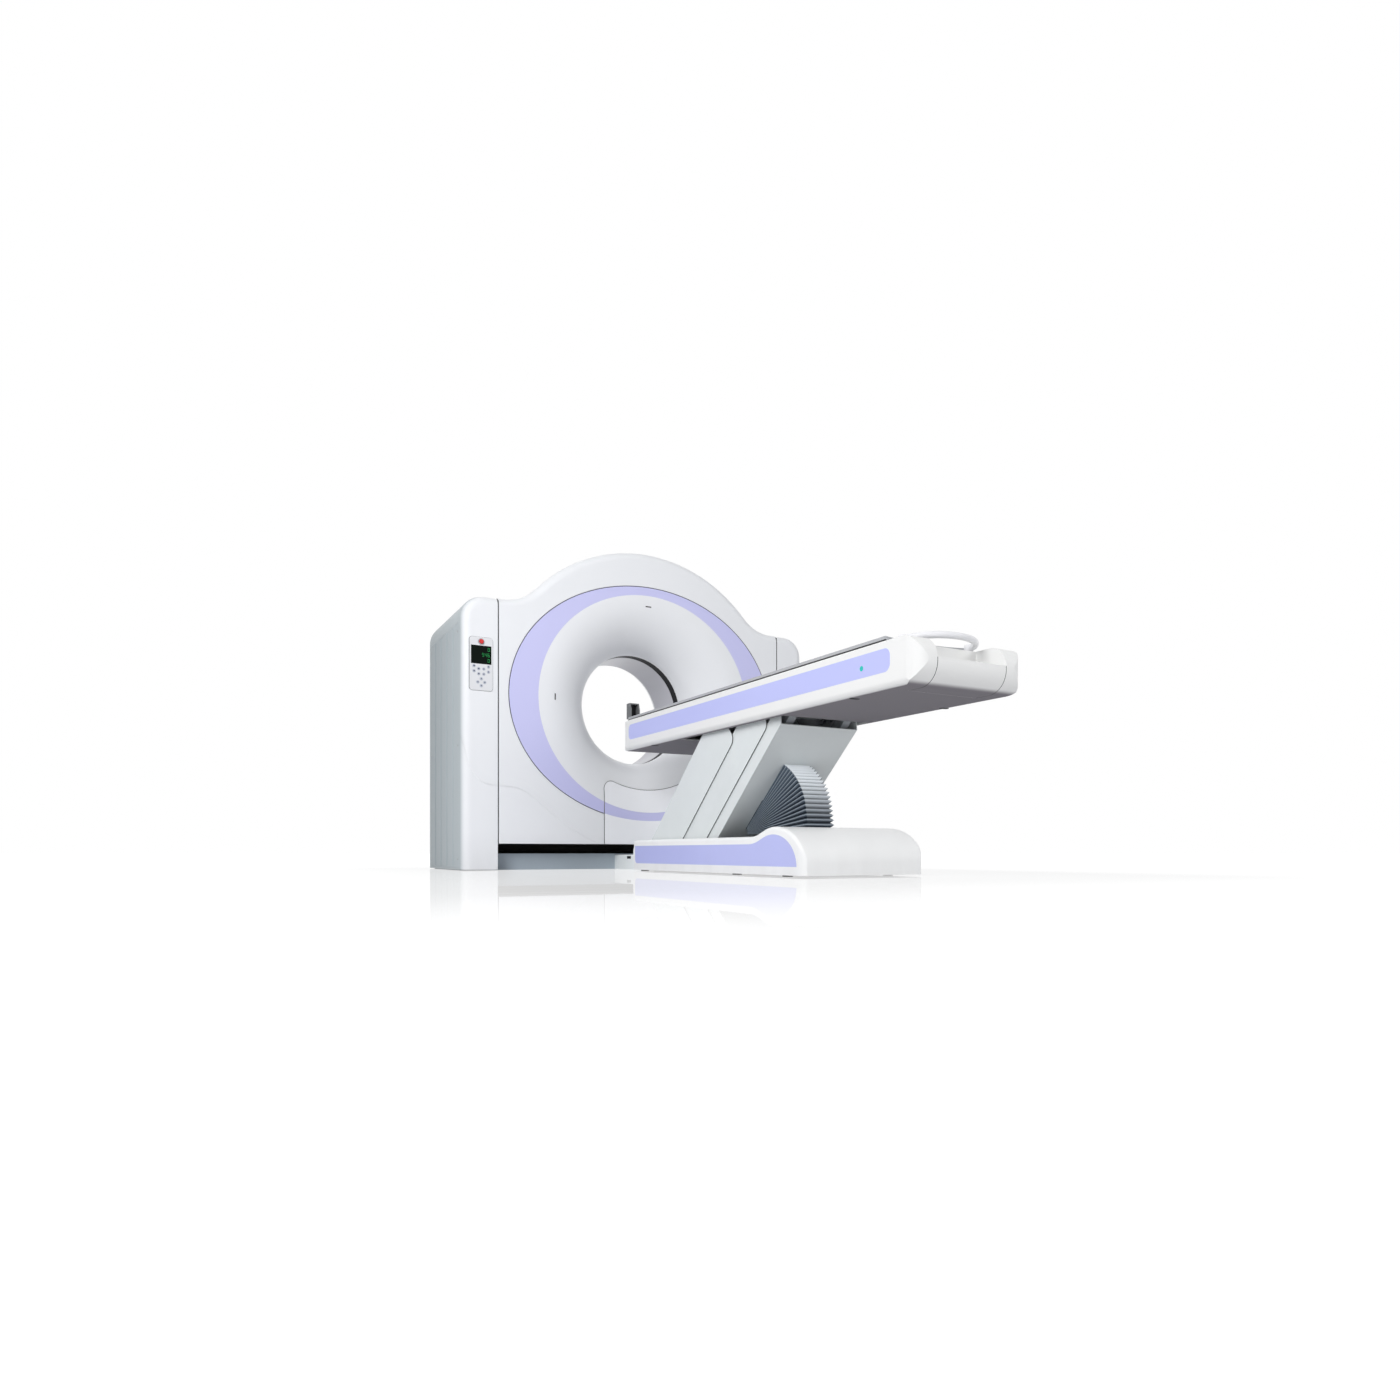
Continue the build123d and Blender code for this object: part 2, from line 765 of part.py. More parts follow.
panel_high = column_top - column_round - panel_top_drop - panel_gap
panel_low = panel_foot + panel_gap
panel_half_length = (rear_y - front_y) / 2 - panel_margin_y - panel_gap
with BuildPart() as side_panels:
    with BuildSketch(Plane.YZ.offset(column_outer)):
        with Locations((split_y, (panel_low + panel_high) / 2)):
            Rectangle(2 * panel_half_length, panel_high - panel_low)
    extrude(amount=-cover_wall)
    rib_pitch = 2 * panel_half_length / (rib_count + 1)
    with BuildSketch(Plane.XY.offset(panel_low + rib_radius)):
        with Locations((column_outer - rib_radius + rib_rise, split_y)):
            with GridLocations(1, rib_pitch, 1, rib_count):
                Circle(rib_radius)
        with Locations((column_outer - cover_wall / 2, split_y)):
            Rectangle(cover_wall + 2 * rib_rise, 2 * panel_half_length, mode=Mode.INTERSECT)
    extrude(amount=panel_high - panel_low - 2 * rib_radius)
    mirror(about=Plane.YZ)
side_panels.part.label = "side_panels"
export_step(side_panels.part, "parts/side_panels.step")

# Control panel on the left column
pad_face = front_y - pad_rise
key_floor = pad_face + key_height - key_rise + key_travel
with BuildPart() as keypad_panel:
    with BuildSketch(facing(pad_face)):
        with Locations((pad_center_x, pad_center_z)):
            RectangleRounded(pad_width, pad_height, pad_corner)
    extrude(amount=-pad_rise)
    with BuildSketch(facing(front_y)):
        with Locations((pad_center_x, pad_center_z)):
            RectangleRounded(pad_width - 2 * pad_corner - panel_gap, pad_height - 2 * pad_corner - panel_gap,
                             pad_corner / 2)
    extrude(amount=-pad_depth)
    with BuildSketch(facing(pad_face)):
        with Locations((pad_center_x, display_center_z)):
            Rectangle(display_width, display_height)
    extrude(amount=-display_depth, mode=Mode.SUBTRACT)
    with BuildSketch(facing(pad_face)):
        with Locations(*key_places()):
            Circle(key_radius + key_gap)
    extrude(amount=pad_face - key_floor, mode=Mode.SUBTRACT)
    with BuildSketch(facing(pad_face)):
        with Locations((pad_center_x, stop_z)):
            Circle(stop_radius * 0.6 + key_gap)
    extrude(amount=-(pad_rise + pad_depth - 4), mode=Mode.SUBTRACT)
keypad_panel.part.label = "keypad_panel"
export_step(keypad_panel.part, "parts/keypad_panel.step")

with BuildPart() as keypad_display:
    with BuildSketch(facing(pad_face)):
        with Locations((pad_center_x, display_center_z)):
            Rectangle(display_width, display_height)
    extrude(amount=-display_depth)
keypad_display.part.label = "keypad_display"
export_step(keypad_display.part, "parts/keypad_display.step")

for number, (key_x, key_z) in enumerate(key_places(), start=1):
    with BuildPart() as key:
        with BuildSketch(facing(pad_face - key_rise)):
            with Locations((key_x, key_z)):
                Circle(key_radius)
        extrude(amount=-key_height)
        chamfer(key.faces().sort_by(Axis.Y)[0].edges(), 0.8)
    key.part.label = f"key_{number:02d}"
    export_step(key.part, f"parts/key_{number:02d}.step")

with BuildPart() as stop_button:
    with BuildSketch(facing(pad_face - stop_rise)):
        with Locations((pad_center_x, stop_z)):
            Circle(stop_radius)
    extrude(amount=-(stop_rise - stop_travel - 1))
    fillet(stop_button.faces().sort_by(Axis.Y)[0].edges(), 2.5)
    with BuildSketch(facing(pad_face - stop_rise + 3)):
        with Locations((pad_center_x, stop_z)):
            Circle(stop_radius * 0.6)
    extrude(amount=-(stop_rise + pad_rise + 2))
stop_button.part.label = "stop_button"
export_step(stop_button.part, "parts/stop_button.step")

# Covers of the tilting gantry
skin = front_skin()
with BuildPart() as front_cover:
    add(skin)
    add(ring_zone(cover_seam), mode=Mode.SUBTRACT)
    add(access_zone(cover_seam), mode=Mode.SUBTRACT)
    with BuildSketch(facing(front_y + cover_wall + seat_gap)) as rebate:
        with Locations((0, bore_height)):
            Ellipse(ring_half_width + rebate_width + cover_seam, ring_half_height + rebate_width + cover_seam)
            Ellipse(ring_half_width - rebate_width, ring_half_height - rebate_width, mode=Mode.SUBTRACT)
    extrude(amount=-rebate_wall)
    with BuildSketch(facing(front_y + cover_wall - 1)):
        with Locations((0, bore_height)):
            Ellipse(ring_half_width + rebate_width + cover_seam, ring_half_height + rebate_width + cover_seam)
            Ellipse(ring_half_width + cover_seam, ring_half_height + cover_seam, mode=Mode.SUBTRACT)
    extrude(amount=-(seat_gap + 1.5))
    add(access_zone(cover_seam), mode=Mode.SUBTRACT)
front_cover.part.label = "front_cover"
export_step(front_cover.part, "parts/front_cover.step")

with BuildPart() as ring_cover:
    add(skin)
    add(ring_zone(0), mode=Mode.INTERSECT)
    add(access_zone(cover_seam), mode=Mode.SUBTRACT)
    add(crescent(), mode=Mode.SUBTRACT)
    add(slit_blocks(), mode=Mode.SUBTRACT)
ring_cover.part.label = "ring_cover"
export_step(ring_cover.part, "parts/ring_cover.step")

with BuildPart() as laser_windows:
    add(slit_blocks())
laser_windows.part.label = "laser_windows"
export_step(laser_windows.part, "parts/laser_windows.step")

with BuildPart() as access_panel:
    add(skin)
    add(access_zone(0), mode=Mode.INTERSECT)
    add(crescent(), mode=Mode.SUBTRACT)
    tab_top = bore_height - ring_half_height
    tab_foot = cover_bottom + 2 * cover_wall
    with BuildSketch(facing(front_y + cover_wall + seat_gap)):
        with Locations(*[(side * access_half_width, (tab_top + tab_foot) / 2) for side in (-1, 1)]):
            Rectangle(2 * rebate_width, tab_top - tab_foot)
    extrude(amount=-rebate_wall)
    with BuildSketch(facing(front_y + cover_wall - 1)):
        with Locations(*[(side * (access_half_width - rebate_width / 2), (tab_top + tab_foot) / 2)
                         for side in (-1, 1)]):
            Rectangle(rebate_width, tab_top - tab_foot)
    extrude(amount=-(seat_gap + 1.5))
access_panel.part.label = "access_panel"
export_step(access_panel.part, "parts/access_panel.step")

with BuildPart() as lower_band:
    add(crescent())
    add(access_zone(0), mode=Mode.INTERSECT)

with BuildPart() as lilac_band:
    add(crescent())
    add(access_zone(cover_seam), mode=Mode.SUBTRACT)
    add(lower_band.part)
lilac_band.part.label = "lilac_band"
export_step(lilac_band.part, "parts/lilac_band.step")

with BuildPart() as rear_hollow:
    add(cover_block(cover_wall, split_y + cover_seam, rear_y - cover_wall, rear_y - cover_wall))
    add(swing_block(cover_wall), mode=Mode.INTERSECT)

with BuildPart() as rear_cover:
    add(cover_block(0, split_y + cover_seam, rear_y, rear_y))
    add(swing_block(0), mode=Mode.INTERSECT)
    add(rear_hollow.part, mode=Mode.SUBTRACT)
    with BuildSketch(facing(rear_y - cover_wall)):
        with Locations((0, bore_height)):
            Circle(mouth_radius)
    extrude(amount=-cover_wall, mode=Mode.SUBTRACT)
    revolve(funnel_profile(rear_y, -1, 0), axis=bore_axis)
rear_cover.part.label = "rear_cover"
export_step(rear_cover.part, "parts/rear_cover.step")

with BuildPart() as bore_liner:
    with BuildSketch(facing(window_half)):
        with Locations((0, bore_height)):
            Circle(bore_radius + cover_wall)
            Circle(bore_radius, mode=Mode.SUBTRACT)
    extrude(amount=-(rear_y - funnel_depth - window_half))
bore_liner.part.label = "bore_liner"
export_step(bore_liner.part, "parts/bore_liner.step")

with BuildPart() as scan_window:
    with BuildSketch(facing(-window_half)):
        with Locations((0, bore_height)):
            Circle(bore_radius + cover_wall)
            Circle(bore_radius + window_recess, mode=Mode.SUBTRACT)
    extrude(amount=-window_width)
scan_window.part.label = "scan_window"
export_step(scan_window.part, "parts/scan_window.step")

# Tilting frame with its trunnions and the outer race of the main bearing
race_inner = hub_outer + seat_gap
frame_back = frame_front + frame_thickness
motor_x = motor_center * cos(radians(motor_angle))
motor_z = bore_height + motor_center * sin(radians(motor_angle))
with BuildPart() as gantry_frame:
    with BuildSketch(facing(frame_front)):
        with Locations((0, bore_height)):
            Circle(frame_outer)
            Rectangle(2 * frame_side_x, frame_arm_height)
            Circle(race_inner, mode=Mode.SUBTRACT)
    extrude(amount=-frame_thickness)
    with BuildSketch(facing(frame_front)):
        with Locations((motor_x, motor_z)):
            Circle(motor_lug_radius)
        with Locations((0, bore_height)):
            Circle(frame_outer - 2, mode=Mode.SUBTRACT)
    extrude(amount=-frame_side_thickness)
    with BuildSketch(facing(frame_front)):
        with Locations((motor_x, motor_z)):
            Circle(motor_shaft_radius + 4)
    extrude(amount=-frame_side_thickness, mode=Mode.SUBTRACT)
    with BuildSketch(Plane.YZ.offset(frame_side_x)):
        with Locations(((frame_back - frame_side_x / 8) / 2, bore_height)):
            Rectangle(frame_back + frame_side_x / 8, frame_arm_height)
    extrude(amount=frame_side_thickness)
    with BuildSketch(Plane.YZ.offset(frame_side_x)):
        with Locations((0, bore_height)):
            Circle(trunnion_radius)
    extrude(amount=trunnion_end - frame_side_x)
    reach = cover_half_width - cover_wall - seat_gap - frame_side_x
    with BuildSketch(Plane.YZ.offset(frame_side_x)):
        with Locations((frame_front + 30, bore_height - frame_arm_height / 2 + bracket_height / 2)):
            Rectangle(60, bracket_height)
        with Locations((split_y + cover_seam + 20, bore_height + frame_arm_height / 2 - bracket_height / 2)):
            Rectangle(36, bracket_height)
    extrude(amount=reach)
    mirror(gantry_frame.part, about=Plane.YZ)
    with BuildSketch(Plane.YZ.offset(-trunnion_end)):
        with Locations((0, bore_height)):
            Circle(spigot_radius)
    extrude(amount=-spigot_length)
gantry_frame.part.label = "gantry_frame"
export_step(gantry_frame.part, "parts/gantry_frame.step")

with BuildPart() as drive_motor:
    with BuildSketch(facing(frame_front + frame_side_thickness)):
        with Locations((motor_x, motor_z)):
            Circle(motor_radius)
    extrude(amount=-motor_length)
    with BuildSketch(facing(frame_front + frame_side_thickness)):
        with Locations((motor_x, motor_z)):
            Circle(motor_shaft_radius + running_gap)
    extrude(amount=-frame_side_thickness, mode=Mode.SUBTRACT)
    with BuildSketch(facing(frame_front + frame_side_thickness + 24)):
        with Locations((motor_x, motor_z)):
            with PolarLocations(motor_radius, 18):
                Rectangle(8, 14)
    extrude(amount=-(motor_length - 60), mode=Mode.SUBTRACT)
drive_motor.part.label = "drive_motor"
export_step(drive_motor.part, "parts/drive_motor.step")

with BuildPart() as motor_pulley:
    with BuildSketch(facing(rotor_front)):
        with Locations((motor_x, motor_z)):
            Circle(pulley_radius)
    extrude(amount=-rotor_thickness)
    with BuildSketch(facing(rotor_front)):
        with Locations((motor_x, motor_z)):
            Circle(motor_shaft_radius)
    extrude(amount=-(frame_front + frame_side_thickness * 2 - rotor_front - 2))
    with BuildSketch(facing(rotor_front)):
        with Locations((motor_x, motor_z)):
            with PolarLocations(pulley_radius * 0.6, 5):
                Circle(8)
    extrude(amount=-rotor_thickness, mode=Mode.SUBTRACT)
motor_pulley.part.label = "motor_pulley"
export_step(motor_pulley.part, "parts/motor_pulley.step")


def belt_loop(thickness):
    """Area inside a belt that runs tangent round the rotor's rim and the motor's pulley."""
    with BuildSketch(facing(rotor_front)) as loop:
        with BuildLine():
            CenterArc((0, bore_height), rotor_outer + seat_gap + thickness, 0, 360)
            CenterArc((motor_x, motor_z), pulley_radius + seat_gap + thickness, 0, 360)
        make_hull()
    return loop.sketch


with BuildPart() as drive_belt:
    extrude(belt_loop(belt_thickness), amount=-rotor_thickness)
    extrude(belt_loop(0), amount=-rotor_thickness, mode=Mode.SUBTRACT)
drive_belt.part.label = "drive_belt"
export_step(drive_belt.part, "parts/drive_belt.step")

# The ring that spins round the bore, and what it carries
rotor_back = rotor_front + rotor_thickness
with BuildPart() as rotor_drum:
    with BuildSketch(facing(rotor_front)):
        with Locations((0, bore_height)):
            Circle(rotor_outer)
            Circle(rotor_inner, mode=Mode.SUBTRACT)
            with PolarLocations(rotor_hole_circle, rotor_hole_count):
                Circle(rotor_hole_radius, mode=Mode.SUBTRACT)
    extrude(amount=-rotor_thickness)
    with BuildSketch(facing(rotor_back)):
        with Locations((0, bore_height)):
            Circle(hub_outer)
            Circle(hub_inner, mode=Mode.SUBTRACT)
    extrude(amount=-hub_length)
rotor_drum.part.label = "rotor_drum"
export_step(rotor_drum.part, "parts/rotor_drum.step")

slip_front = rotor_back + hub_length
with BuildPart() as slip_ring:
    with BuildSketch(Plane.YZ):
        with Locations((slip_front, bore_height + slip_inner)):
            Rectangle(slip_length, hub_outer - 20 - slip_inner, align=(Align.MIN, Align.MIN))
        track = (hub_outer - 20 - slip_inner) / (slip_track_count * 2 + 1)
        with Locations(*[(slip_front + slip_length, bore_height + slip_inner + track * (2 * n + 1.5))
                         for n in range(slip_track_count)]):
            Rectangle(2 * slip_track_depth, track, mode=Mode.SUBTRACT)
    revolve(axis=bore_axis)
slip_ring.part.label = "slip_ring"
export_step(slip_ring.part, "parts/slip_ring.step")

with BuildPart() as xray_tube:
    with BuildSketch(facing(rotor_front)):
        with Locations((0, bore_height + tube_center)):
            Circle(tube_radius)
    extrude(amount=tube_length - tube_cap_length)
    with BuildSketch(facing(rotor_front - tube_length + tube_cap_length)):
        with Locations((0, bore_height + tube_center)):
            Circle(tube_cap_radius)
    extrude(amount=tube_cap_length)
xray_tube.part.label = "xray_tube"
export_step(xray_tube.part, "parts/xray_tube.step")

collimator_top = bore_height + tube_center - tube_radius * 0.86
with BuildPart() as collimator:
    with BuildSketch(Plane.XY.offset(collimator_top - collimator_height)):
        with Locations((0, rotor_front)):
            Rectangle(2 * collimator_half_width, collimator_length, align=(Align.CENTER, Align.MAX))
    extrude(amount=collimator_height)
    with BuildSketch(facing(rotor_front)):
        with Locations((0, bore_height + tube_center)):
            Circle(tube_radius + seat_gap)
    extrude(amount=collimator_length, mode=Mode.SUBTRACT)
    with BuildSketch(Plane.XY.offset(collimator_top - collimator_height)):
        with Locations((0, 0)):
            Rectangle(collimator_half_width, 12)
    extrude(amount=collimator_height, mode=Mode.SUBTRACT)
collimator.part.label = "collimator"
export_step(collimator.part, "parts/collimator.step")

with BuildPart() as detector_array:
    with BuildSketch(facing(rotor_front)):
        with Locations((0, bore_height + tube_center)):
            Circle(detector_outer)
            Circle(detector_inner, mode=Mode.SUBTRACT)
        spread = 1.2 * detector_outer
        wedge = [(0, bore_height + tube_center)]
        wedge += [(spread * sin(radians(a)), bore_height + tube_center - spread * cos(radians(a)))
                  for a in (-detector_half_angle, -detector_half_angle / 2, 0,
                            detector_half_angle / 2, detector_half_angle)]
        Polygon(*wedge, align=None, mode=Mode.INTERSECT)
    extrude(amount=detector_length)
    steps = int(detector_half_angle / detector_module_angle)
    with BuildSketch(facing(rotor_front - detector_length)):
        with Locations((0, bore_height + tube_center)):
            with PolarLocations(detector_inner, 2 * steps + 1, start_angle=-90 - steps * detector_module_angle,
                                angular_range=2 * steps * detector_module_angle, endpoint=True):
                Rectangle(14, 5)
    extrude(amount=-(detector_length - 20), mode=Mode.SUBTRACT)
detector_array.part.label = "detector_array"
export_step(detector_array.part, "parts/detector_array.step")

with BuildPart() as hv_generator:
    with BuildSketch(facing(rotor_front)):
        with Locations((-rotor_box_center, bore_height)):
            RectangleRounded(rotor_box_width, hv_height, 12)
    extrude(amount=hv_depth)
    with BuildSketch(facing(rotor_front - hv_depth)):
        with Locations((-rotor_box_center, bore_height)):
            with GridLocations(1, hv_height / 8, 1, 7):
                Rectangle(rotor_box_width - 30, 10)
    extrude(amount=-8, mode=Mode.SUBTRACT)
hv_generator.part.label = "hv_generator"
export_step(hv_generator.part, "parts/hv_generator.step")

with BuildPart() as counterweight:
    with BuildSketch(facing(rotor_front)):
        with Locations((rotor_box_center, bore_height)):
            Rectangle(rotor_box_width, weight_height)
    extrude(amount=weight_depth)
    with BuildSketch(facing(rotor_front - weight_depth)):
        with Locations((rotor_box_center, bore_height)):
            with GridLocations(1, weight_height / 2, 1, 2):
                Circle(14)
    extrude(amount=-20, mode=Mode.SUBTRACT)
counterweight.part.label = "counterweight"
export_step(counterweight.part, "parts/counterweight.step")

# Floor duct between the gantry's plinth and the table base
with BuildPart() as floor_duct:
    with BuildSketch(facing(base_front)) as section:
        Rectangle(2 * duct_half_width, duct_height, align=(Align.CENTER, Align.MIN))
        fillet(section.vertices().sort_by(Axis.Y)[-2:], duct_round)
        Rectangle(2 * (duct_half_width - duct_wall), duct_height - duct_wall, align=(Align.CENTER, Align.MIN),
                  mode=Mode.SUBTRACT)
    extrude(amount=base_front - plinth_front)
    with BuildSketch(Plane.YZ.offset(-duct_half_width)):
        with Locations((duct_slot_y, duct_slot_z)):
            Rectangle(duct_slot_length, duct_slot_height)
    extrude(amount=duct_wall, mode=Mode.SUBTRACT)
floor_duct.part.label = "floor_duct"
export_step(floor_duct.part, "parts/floor_duct.step")

# Table base
base_stripe_head = base_front - base_stripe_margin
stripe_crest_y = base_front - hump_start - hump_length
with BuildPart() as base_stripes:
    with BuildSketch(Plane.YZ) as stripe_face:
        with BuildLine():
            stripe_crest = hump_top - (base_top - base_stripe_top)
            nose_tip = base_nose + base_end_round
            Polyline((nose_tip, base_stripe_foot), (base_stripe_head, base_stripe_foot),
                     (base_stripe_head, base_stripe_top), (base_front - hump_start, base_stripe_top))
            Spline((base_front - hump_start, base_stripe_top), (stripe_crest_y, stripe_crest),
                   tangents=((-1, 0), (-1, 0)))
            EllipticalCenterArc((stripe_crest_y, base_stripe_foot), stripe_crest_y - nose_tip,
                                stripe_crest - base_stripe_foot, start_angle=90, arc_size=90)
        make_face()
        head_corners = stripe_face.vertices().sort_by(Axis.X)[-2:]
        fillet(head_corners, 30)
    extrude(amount=base_half_width, both=True)
    with BuildSketch(Plane.YZ):
        with Locations(((base_front + base_nose) / 2, 0)):
            Rectangle(2 * base_length, 2 * hump_top)
    extrude(amount=base_half_width - stripe_depth, both=True, mode=Mode.SUBTRACT)

with BuildPart() as table_base_cover:
    add(base_block(0))
    side_edges = table_base_cover.edges().filter_by(
        lambda e: abs(abs(e.center().X) - base_half_width) < 0.1 and e.center().Z > base_top - 60
        and e.length > 60
    )
    fillet(side_edges, base_edge_round)
    add(base_block(base_wall), mode=Mode.SUBTRACT)
    with BuildSketch(Plane.XY.offset(base_top - base_wall)):
        with Locations((0, (slot_front + slot_back) / 2)):
            Rectangle(2 * base_slot_half_width, slot_front - slot_back)
    extrude(amount=hump_top, mode=Mode.SUBTRACT)
    with BuildSketch(Plane.XY.offset(base_top)):
        with Locations((0, (slot_front + slot_back) / 2)):
            Rectangle(2 * (base_slot_half_width + base_wall), slot_front - slot_back + 2 * base_wall)
            Rectangle(2 * base_slot_half_width, slot_front - slot_back, mode=Mode.SUBTRACT)
    extrude(amount=-(base_top - base_under - 30))
    add(base_stripes.part, mode=Mode.SUBTRACT)
table_base_cover.part.label = "table_base_cover"
export_step(table_base_cover.part, "parts/table_base_cover.step")
base_stripes.part.label = "base_stripes"
export_step(base_stripes.part, "parts/base_stripes.step")

frame_floor = base_under
bar_places = (base_front - base_end_round - 30, slot_back - 60, base_nose + 180)
tray_half_width = bracket_outer + bracket_wall
with BuildPart() as table_base_frame:
    with BuildSketch(Plane.XY.offset(frame_floor)):
        with Locations((0, (base_front + base_nose) / 2)):
            Rectangle(2 * tray_half_width, base_length - 2 * base_end_round)
        for bar_y in bar_places:
            with Locations((0, bar_y)):
                Rectangle(2 * (base_half_width - base_wall), 30)
    extrude(amount=12)
    for pivot_y in (front_pivot_y, rear_pivot_y, mid_pivot_y):
        hole = mid_rod_radius if pivot_y == mid_pivot_y else pin_radius
        for wall_x in (bracket_outer, bracket_inner - bracket_wall):
            for side in (-1, 1):
                start = wall_x if side == 1 else -wall_x - bracket_wall
                add(pivot_bracket(pivot_y, pivot_height, start, frame_floor + 6, 1, hole))
    for side in (-1, 1):
        start = 20 if side == 1 else -20 - bracket_wall
        with BuildSketch(Plane.YZ.offset(start)):
            with Locations((actuator_y, actuator_z)):
                Circle(eye_radius - 6)
            with Locations((actuator_y, (frame_floor + actuator_z) / 2)):
                Rectangle(2 * (eye_radius - 6), actuator_z - frame_floor)
        extrude(amount=bracket_wall)
    with BuildSketch(Plane.YZ.offset(-20)):
        with Locations((actuator_y, actuator_z)):
            Circle(actuator_pin)
    extrude(amount=40)
table_base_frame.part.label = "table_base_frame"
export_step(table_base_frame.part, "parts/table_base_frame.step")

with BuildPart() as base_feet:
    with BuildSketch(Plane.XY):
        with Locations(*[(side * foot_x, bar_y) for side in (-1, 1) for bar_y in bar_places]):
            Circle(foot_radius)
    extrude(amount=frame_floor)
base_feet.part.label = "base_feet"
export_step(base_feet.part, "parts/base_feet.step")

# Leg: three nested covers on a parallelogram of arms
with BuildPart() as front_leg_cover:
    add(bent_plates(front_pivot_y, leg_half_width,
                    [(cut_at_foot(front_cover_front), front_cover_front),
                     (front_plate_top, front_cover_front),
                     (front_cover_top, 0),
                     (front_cover_top, front_cover_back),
                     (cut_at_foot(front_cover_back), front_cover_back)],
                    (front_cover_top, front_cover_back)))
    add(cross_plate(front_pivot_y, leg_half_width, front_cover_front - leg_plate, front_cover_front,
                    front_plate_top))
front_leg_cover.part.label = "front_leg_cover"
export_step(front_leg_cover.part, "parts/front_leg_cover.step")

mid_x = leg_half_width - leg_plate - leg_plate_gap
with BuildPart() as mid_leg_cover:
    add(bent_plates(mid_pivot_y, mid_x,
                    [(cut_at_foot(mid_cover_front) + 60, mid_cover_front),
                     (mid_cover_top - 150, mid_cover_front),
                     (mid_cover_top + 30, 10),
                     (mid_cover_top, mid_cover_back),
                     (cut_at_foot(mid_cover_back), mid_cover_back),
                     (-25, -10),
                     (-25, 25)],
                    (mid_cover_top, mid_cover_back)))
    with BuildSketch(arm_plane(mid_pivot_y)):
        with Locations((0, 0), (arm_length, 0)):
            Circle(mid_rod_radius)
    extrude(amount=mid_x - leg_plate, both=True)
mid_leg_cover.part.label = "mid_leg_cover"
export_step(mid_leg_cover.part, "parts/mid_leg_cover.step")

rear_x = mid_x - leg_plate - leg_plate_gap
with BuildPart() as rear_leg_cover:
    add(bent_plates(rear_pivot_y, rear_x,
                    [(cut_at_foot(rear_cover_front), rear_cover_front),
                     (rear_cover_top + 50, rear_cover_front),
                     (rear_cover_top + 40, 0),
                     (rear_cover_top, rear_cover_back),
                     (cut_at_foot(rear_cover_back), rear_cover_back)],
                    (rear_cover_top + 40, 0)))
    add(cross_plate(rear_pivot_y, rear_x, rear_cover_back, rear_cover_back + leg_plate, rear_cover_top))
    with BuildSketch(arm_plane(rear_pivot_y)):
        with Locations((actuator_reach - 30, rear_cover_back)):
            Rectangle(150, 20)
    extrude(amount=actuator_radius + 12, both=True, mode=Mode.SUBTRACT)
rear_leg_cover.part.label = "rear_leg_cover"
export_step(rear_leg_cover.part, "parts/rear_leg_cover.step")

with BuildPart() as front_arm:
    add(lift_arm(front_pivot_y, False, 0, front_cover_front - leg_plate))
front_arm.part.label = "front_arm"
export_step(front_arm.part, "parts/front_arm.step")

with BuildPart() as rear_arm:
    add(lift_arm(rear_pivot_y, True, rear_cover_back + leg_plate, 0))
    with BuildSketch(arm_plane(rear_pivot_y)):
        with Locations((actuator_reach, actuator_lift)):
            Circle(actuator_pin)
    extrude(amount=arm_x + arm_width / 2, both=True)
    with BuildSketch(arm_plane(rear_pivot_y, arm_x + arm_width)):
        with Locations((actuator_reach, actuator_lift / 2)):
            Rectangle(44, actuator_lift + 30)
    extrude(amount=arm_width)
    with BuildSketch(arm_plane(rear_pivot_y, -arm_x)):
        with Locations((actuator_reach, actuator_lift / 2)):
            Rectangle(44, actuator_lift + 30)
    extrude(amount=arm_width)
rear_arm.part.label = "rear_arm"
export_step(rear_arm.part, "parts/rear_arm.step")

# Lift actuator: a short screw jack, its upper eye left loose on the rear arm's cross pin
pin_y = rear_pivot_y - actuator_reach * lift_cos + actuator_lift * lift_sin
pin_z = pivot_height + actuator_reach * lift_sin + actuator_lift * lift_cos
jack_length = sqrt((pin_y - actuator_y) ** 2 + (pin_z - actuator_z) ** 2)
jack_plane = Plane(origin=(0, actuator_y, actuator_z),
                   x_dir=(0, (pin_y - actuator_y) / jack_length, (pin_z - actuator_z) / jack_length),
                   z_dir=(1, 0, 0))
jack_axis_plane = Plane(origin=(0, actuator_y, actuator_z), x_dir=(1, 0, 0), z_dir=jack_plane.x_dir)
jack_foot = eye_radius
rod_start = actuator_pin + 8
with BuildPart() as actuator_body:
    with BuildSketch(jack_axis_plane.offset(jack_foot)):
        Circle(actuator_radius)
    extrude(amount=actuator_length - jack_foot)
    with BuildSketch(jack_plane):
        Circle(actuator_radius - 6)
        with Locations((jack_foot / 2, 0)):
            Rectangle(jack_foot, 2 * (actuator_radius - 6))
    extrude(amount=18, both=True)
    with BuildSketch(jack_plane):
        Circle(actuator_pin + running_gap)
    extrude(amount=30, both=True, mode=Mode.SUBTRACT)
    with BuildSketch(jack_axis_plane.offset(rod_start)):
        Circle(rod_radius + seat_gap)
    extrude(amount=actuator_length - rod_start, mode=Mode.SUBTRACT)
actuator_body.part.label = "actuator_body"
export_step(actuator_body.part, "parts/actuator_body.step")

with BuildPart() as actuator_rod:
    with BuildSketch(jack_axis_plane.offset(jack_length - rod_length)):
        Circle(rod_radius)
    extrude(amount=rod_length - actuator_pin - rod_slot_gap - 2)
    with BuildSketch(jack_plane):
        with Locations((jack_length, 0)):
            Circle(rod_eye_radius)
    extrude(amount=rod_eye_width / 2, both=True)
    with BuildSketch(jack_plane):
        with Locations((jack_length, 0)):
            Circle(actuator_pin + rod_slot_gap)
    extrude(amount=rod_eye_width / 2, both=True, mode=Mode.SUBTRACT)
actuator_rod.part.label = "actuator_rod"
export_step(actuator_rod.part, "parts/actuator_rod.step")

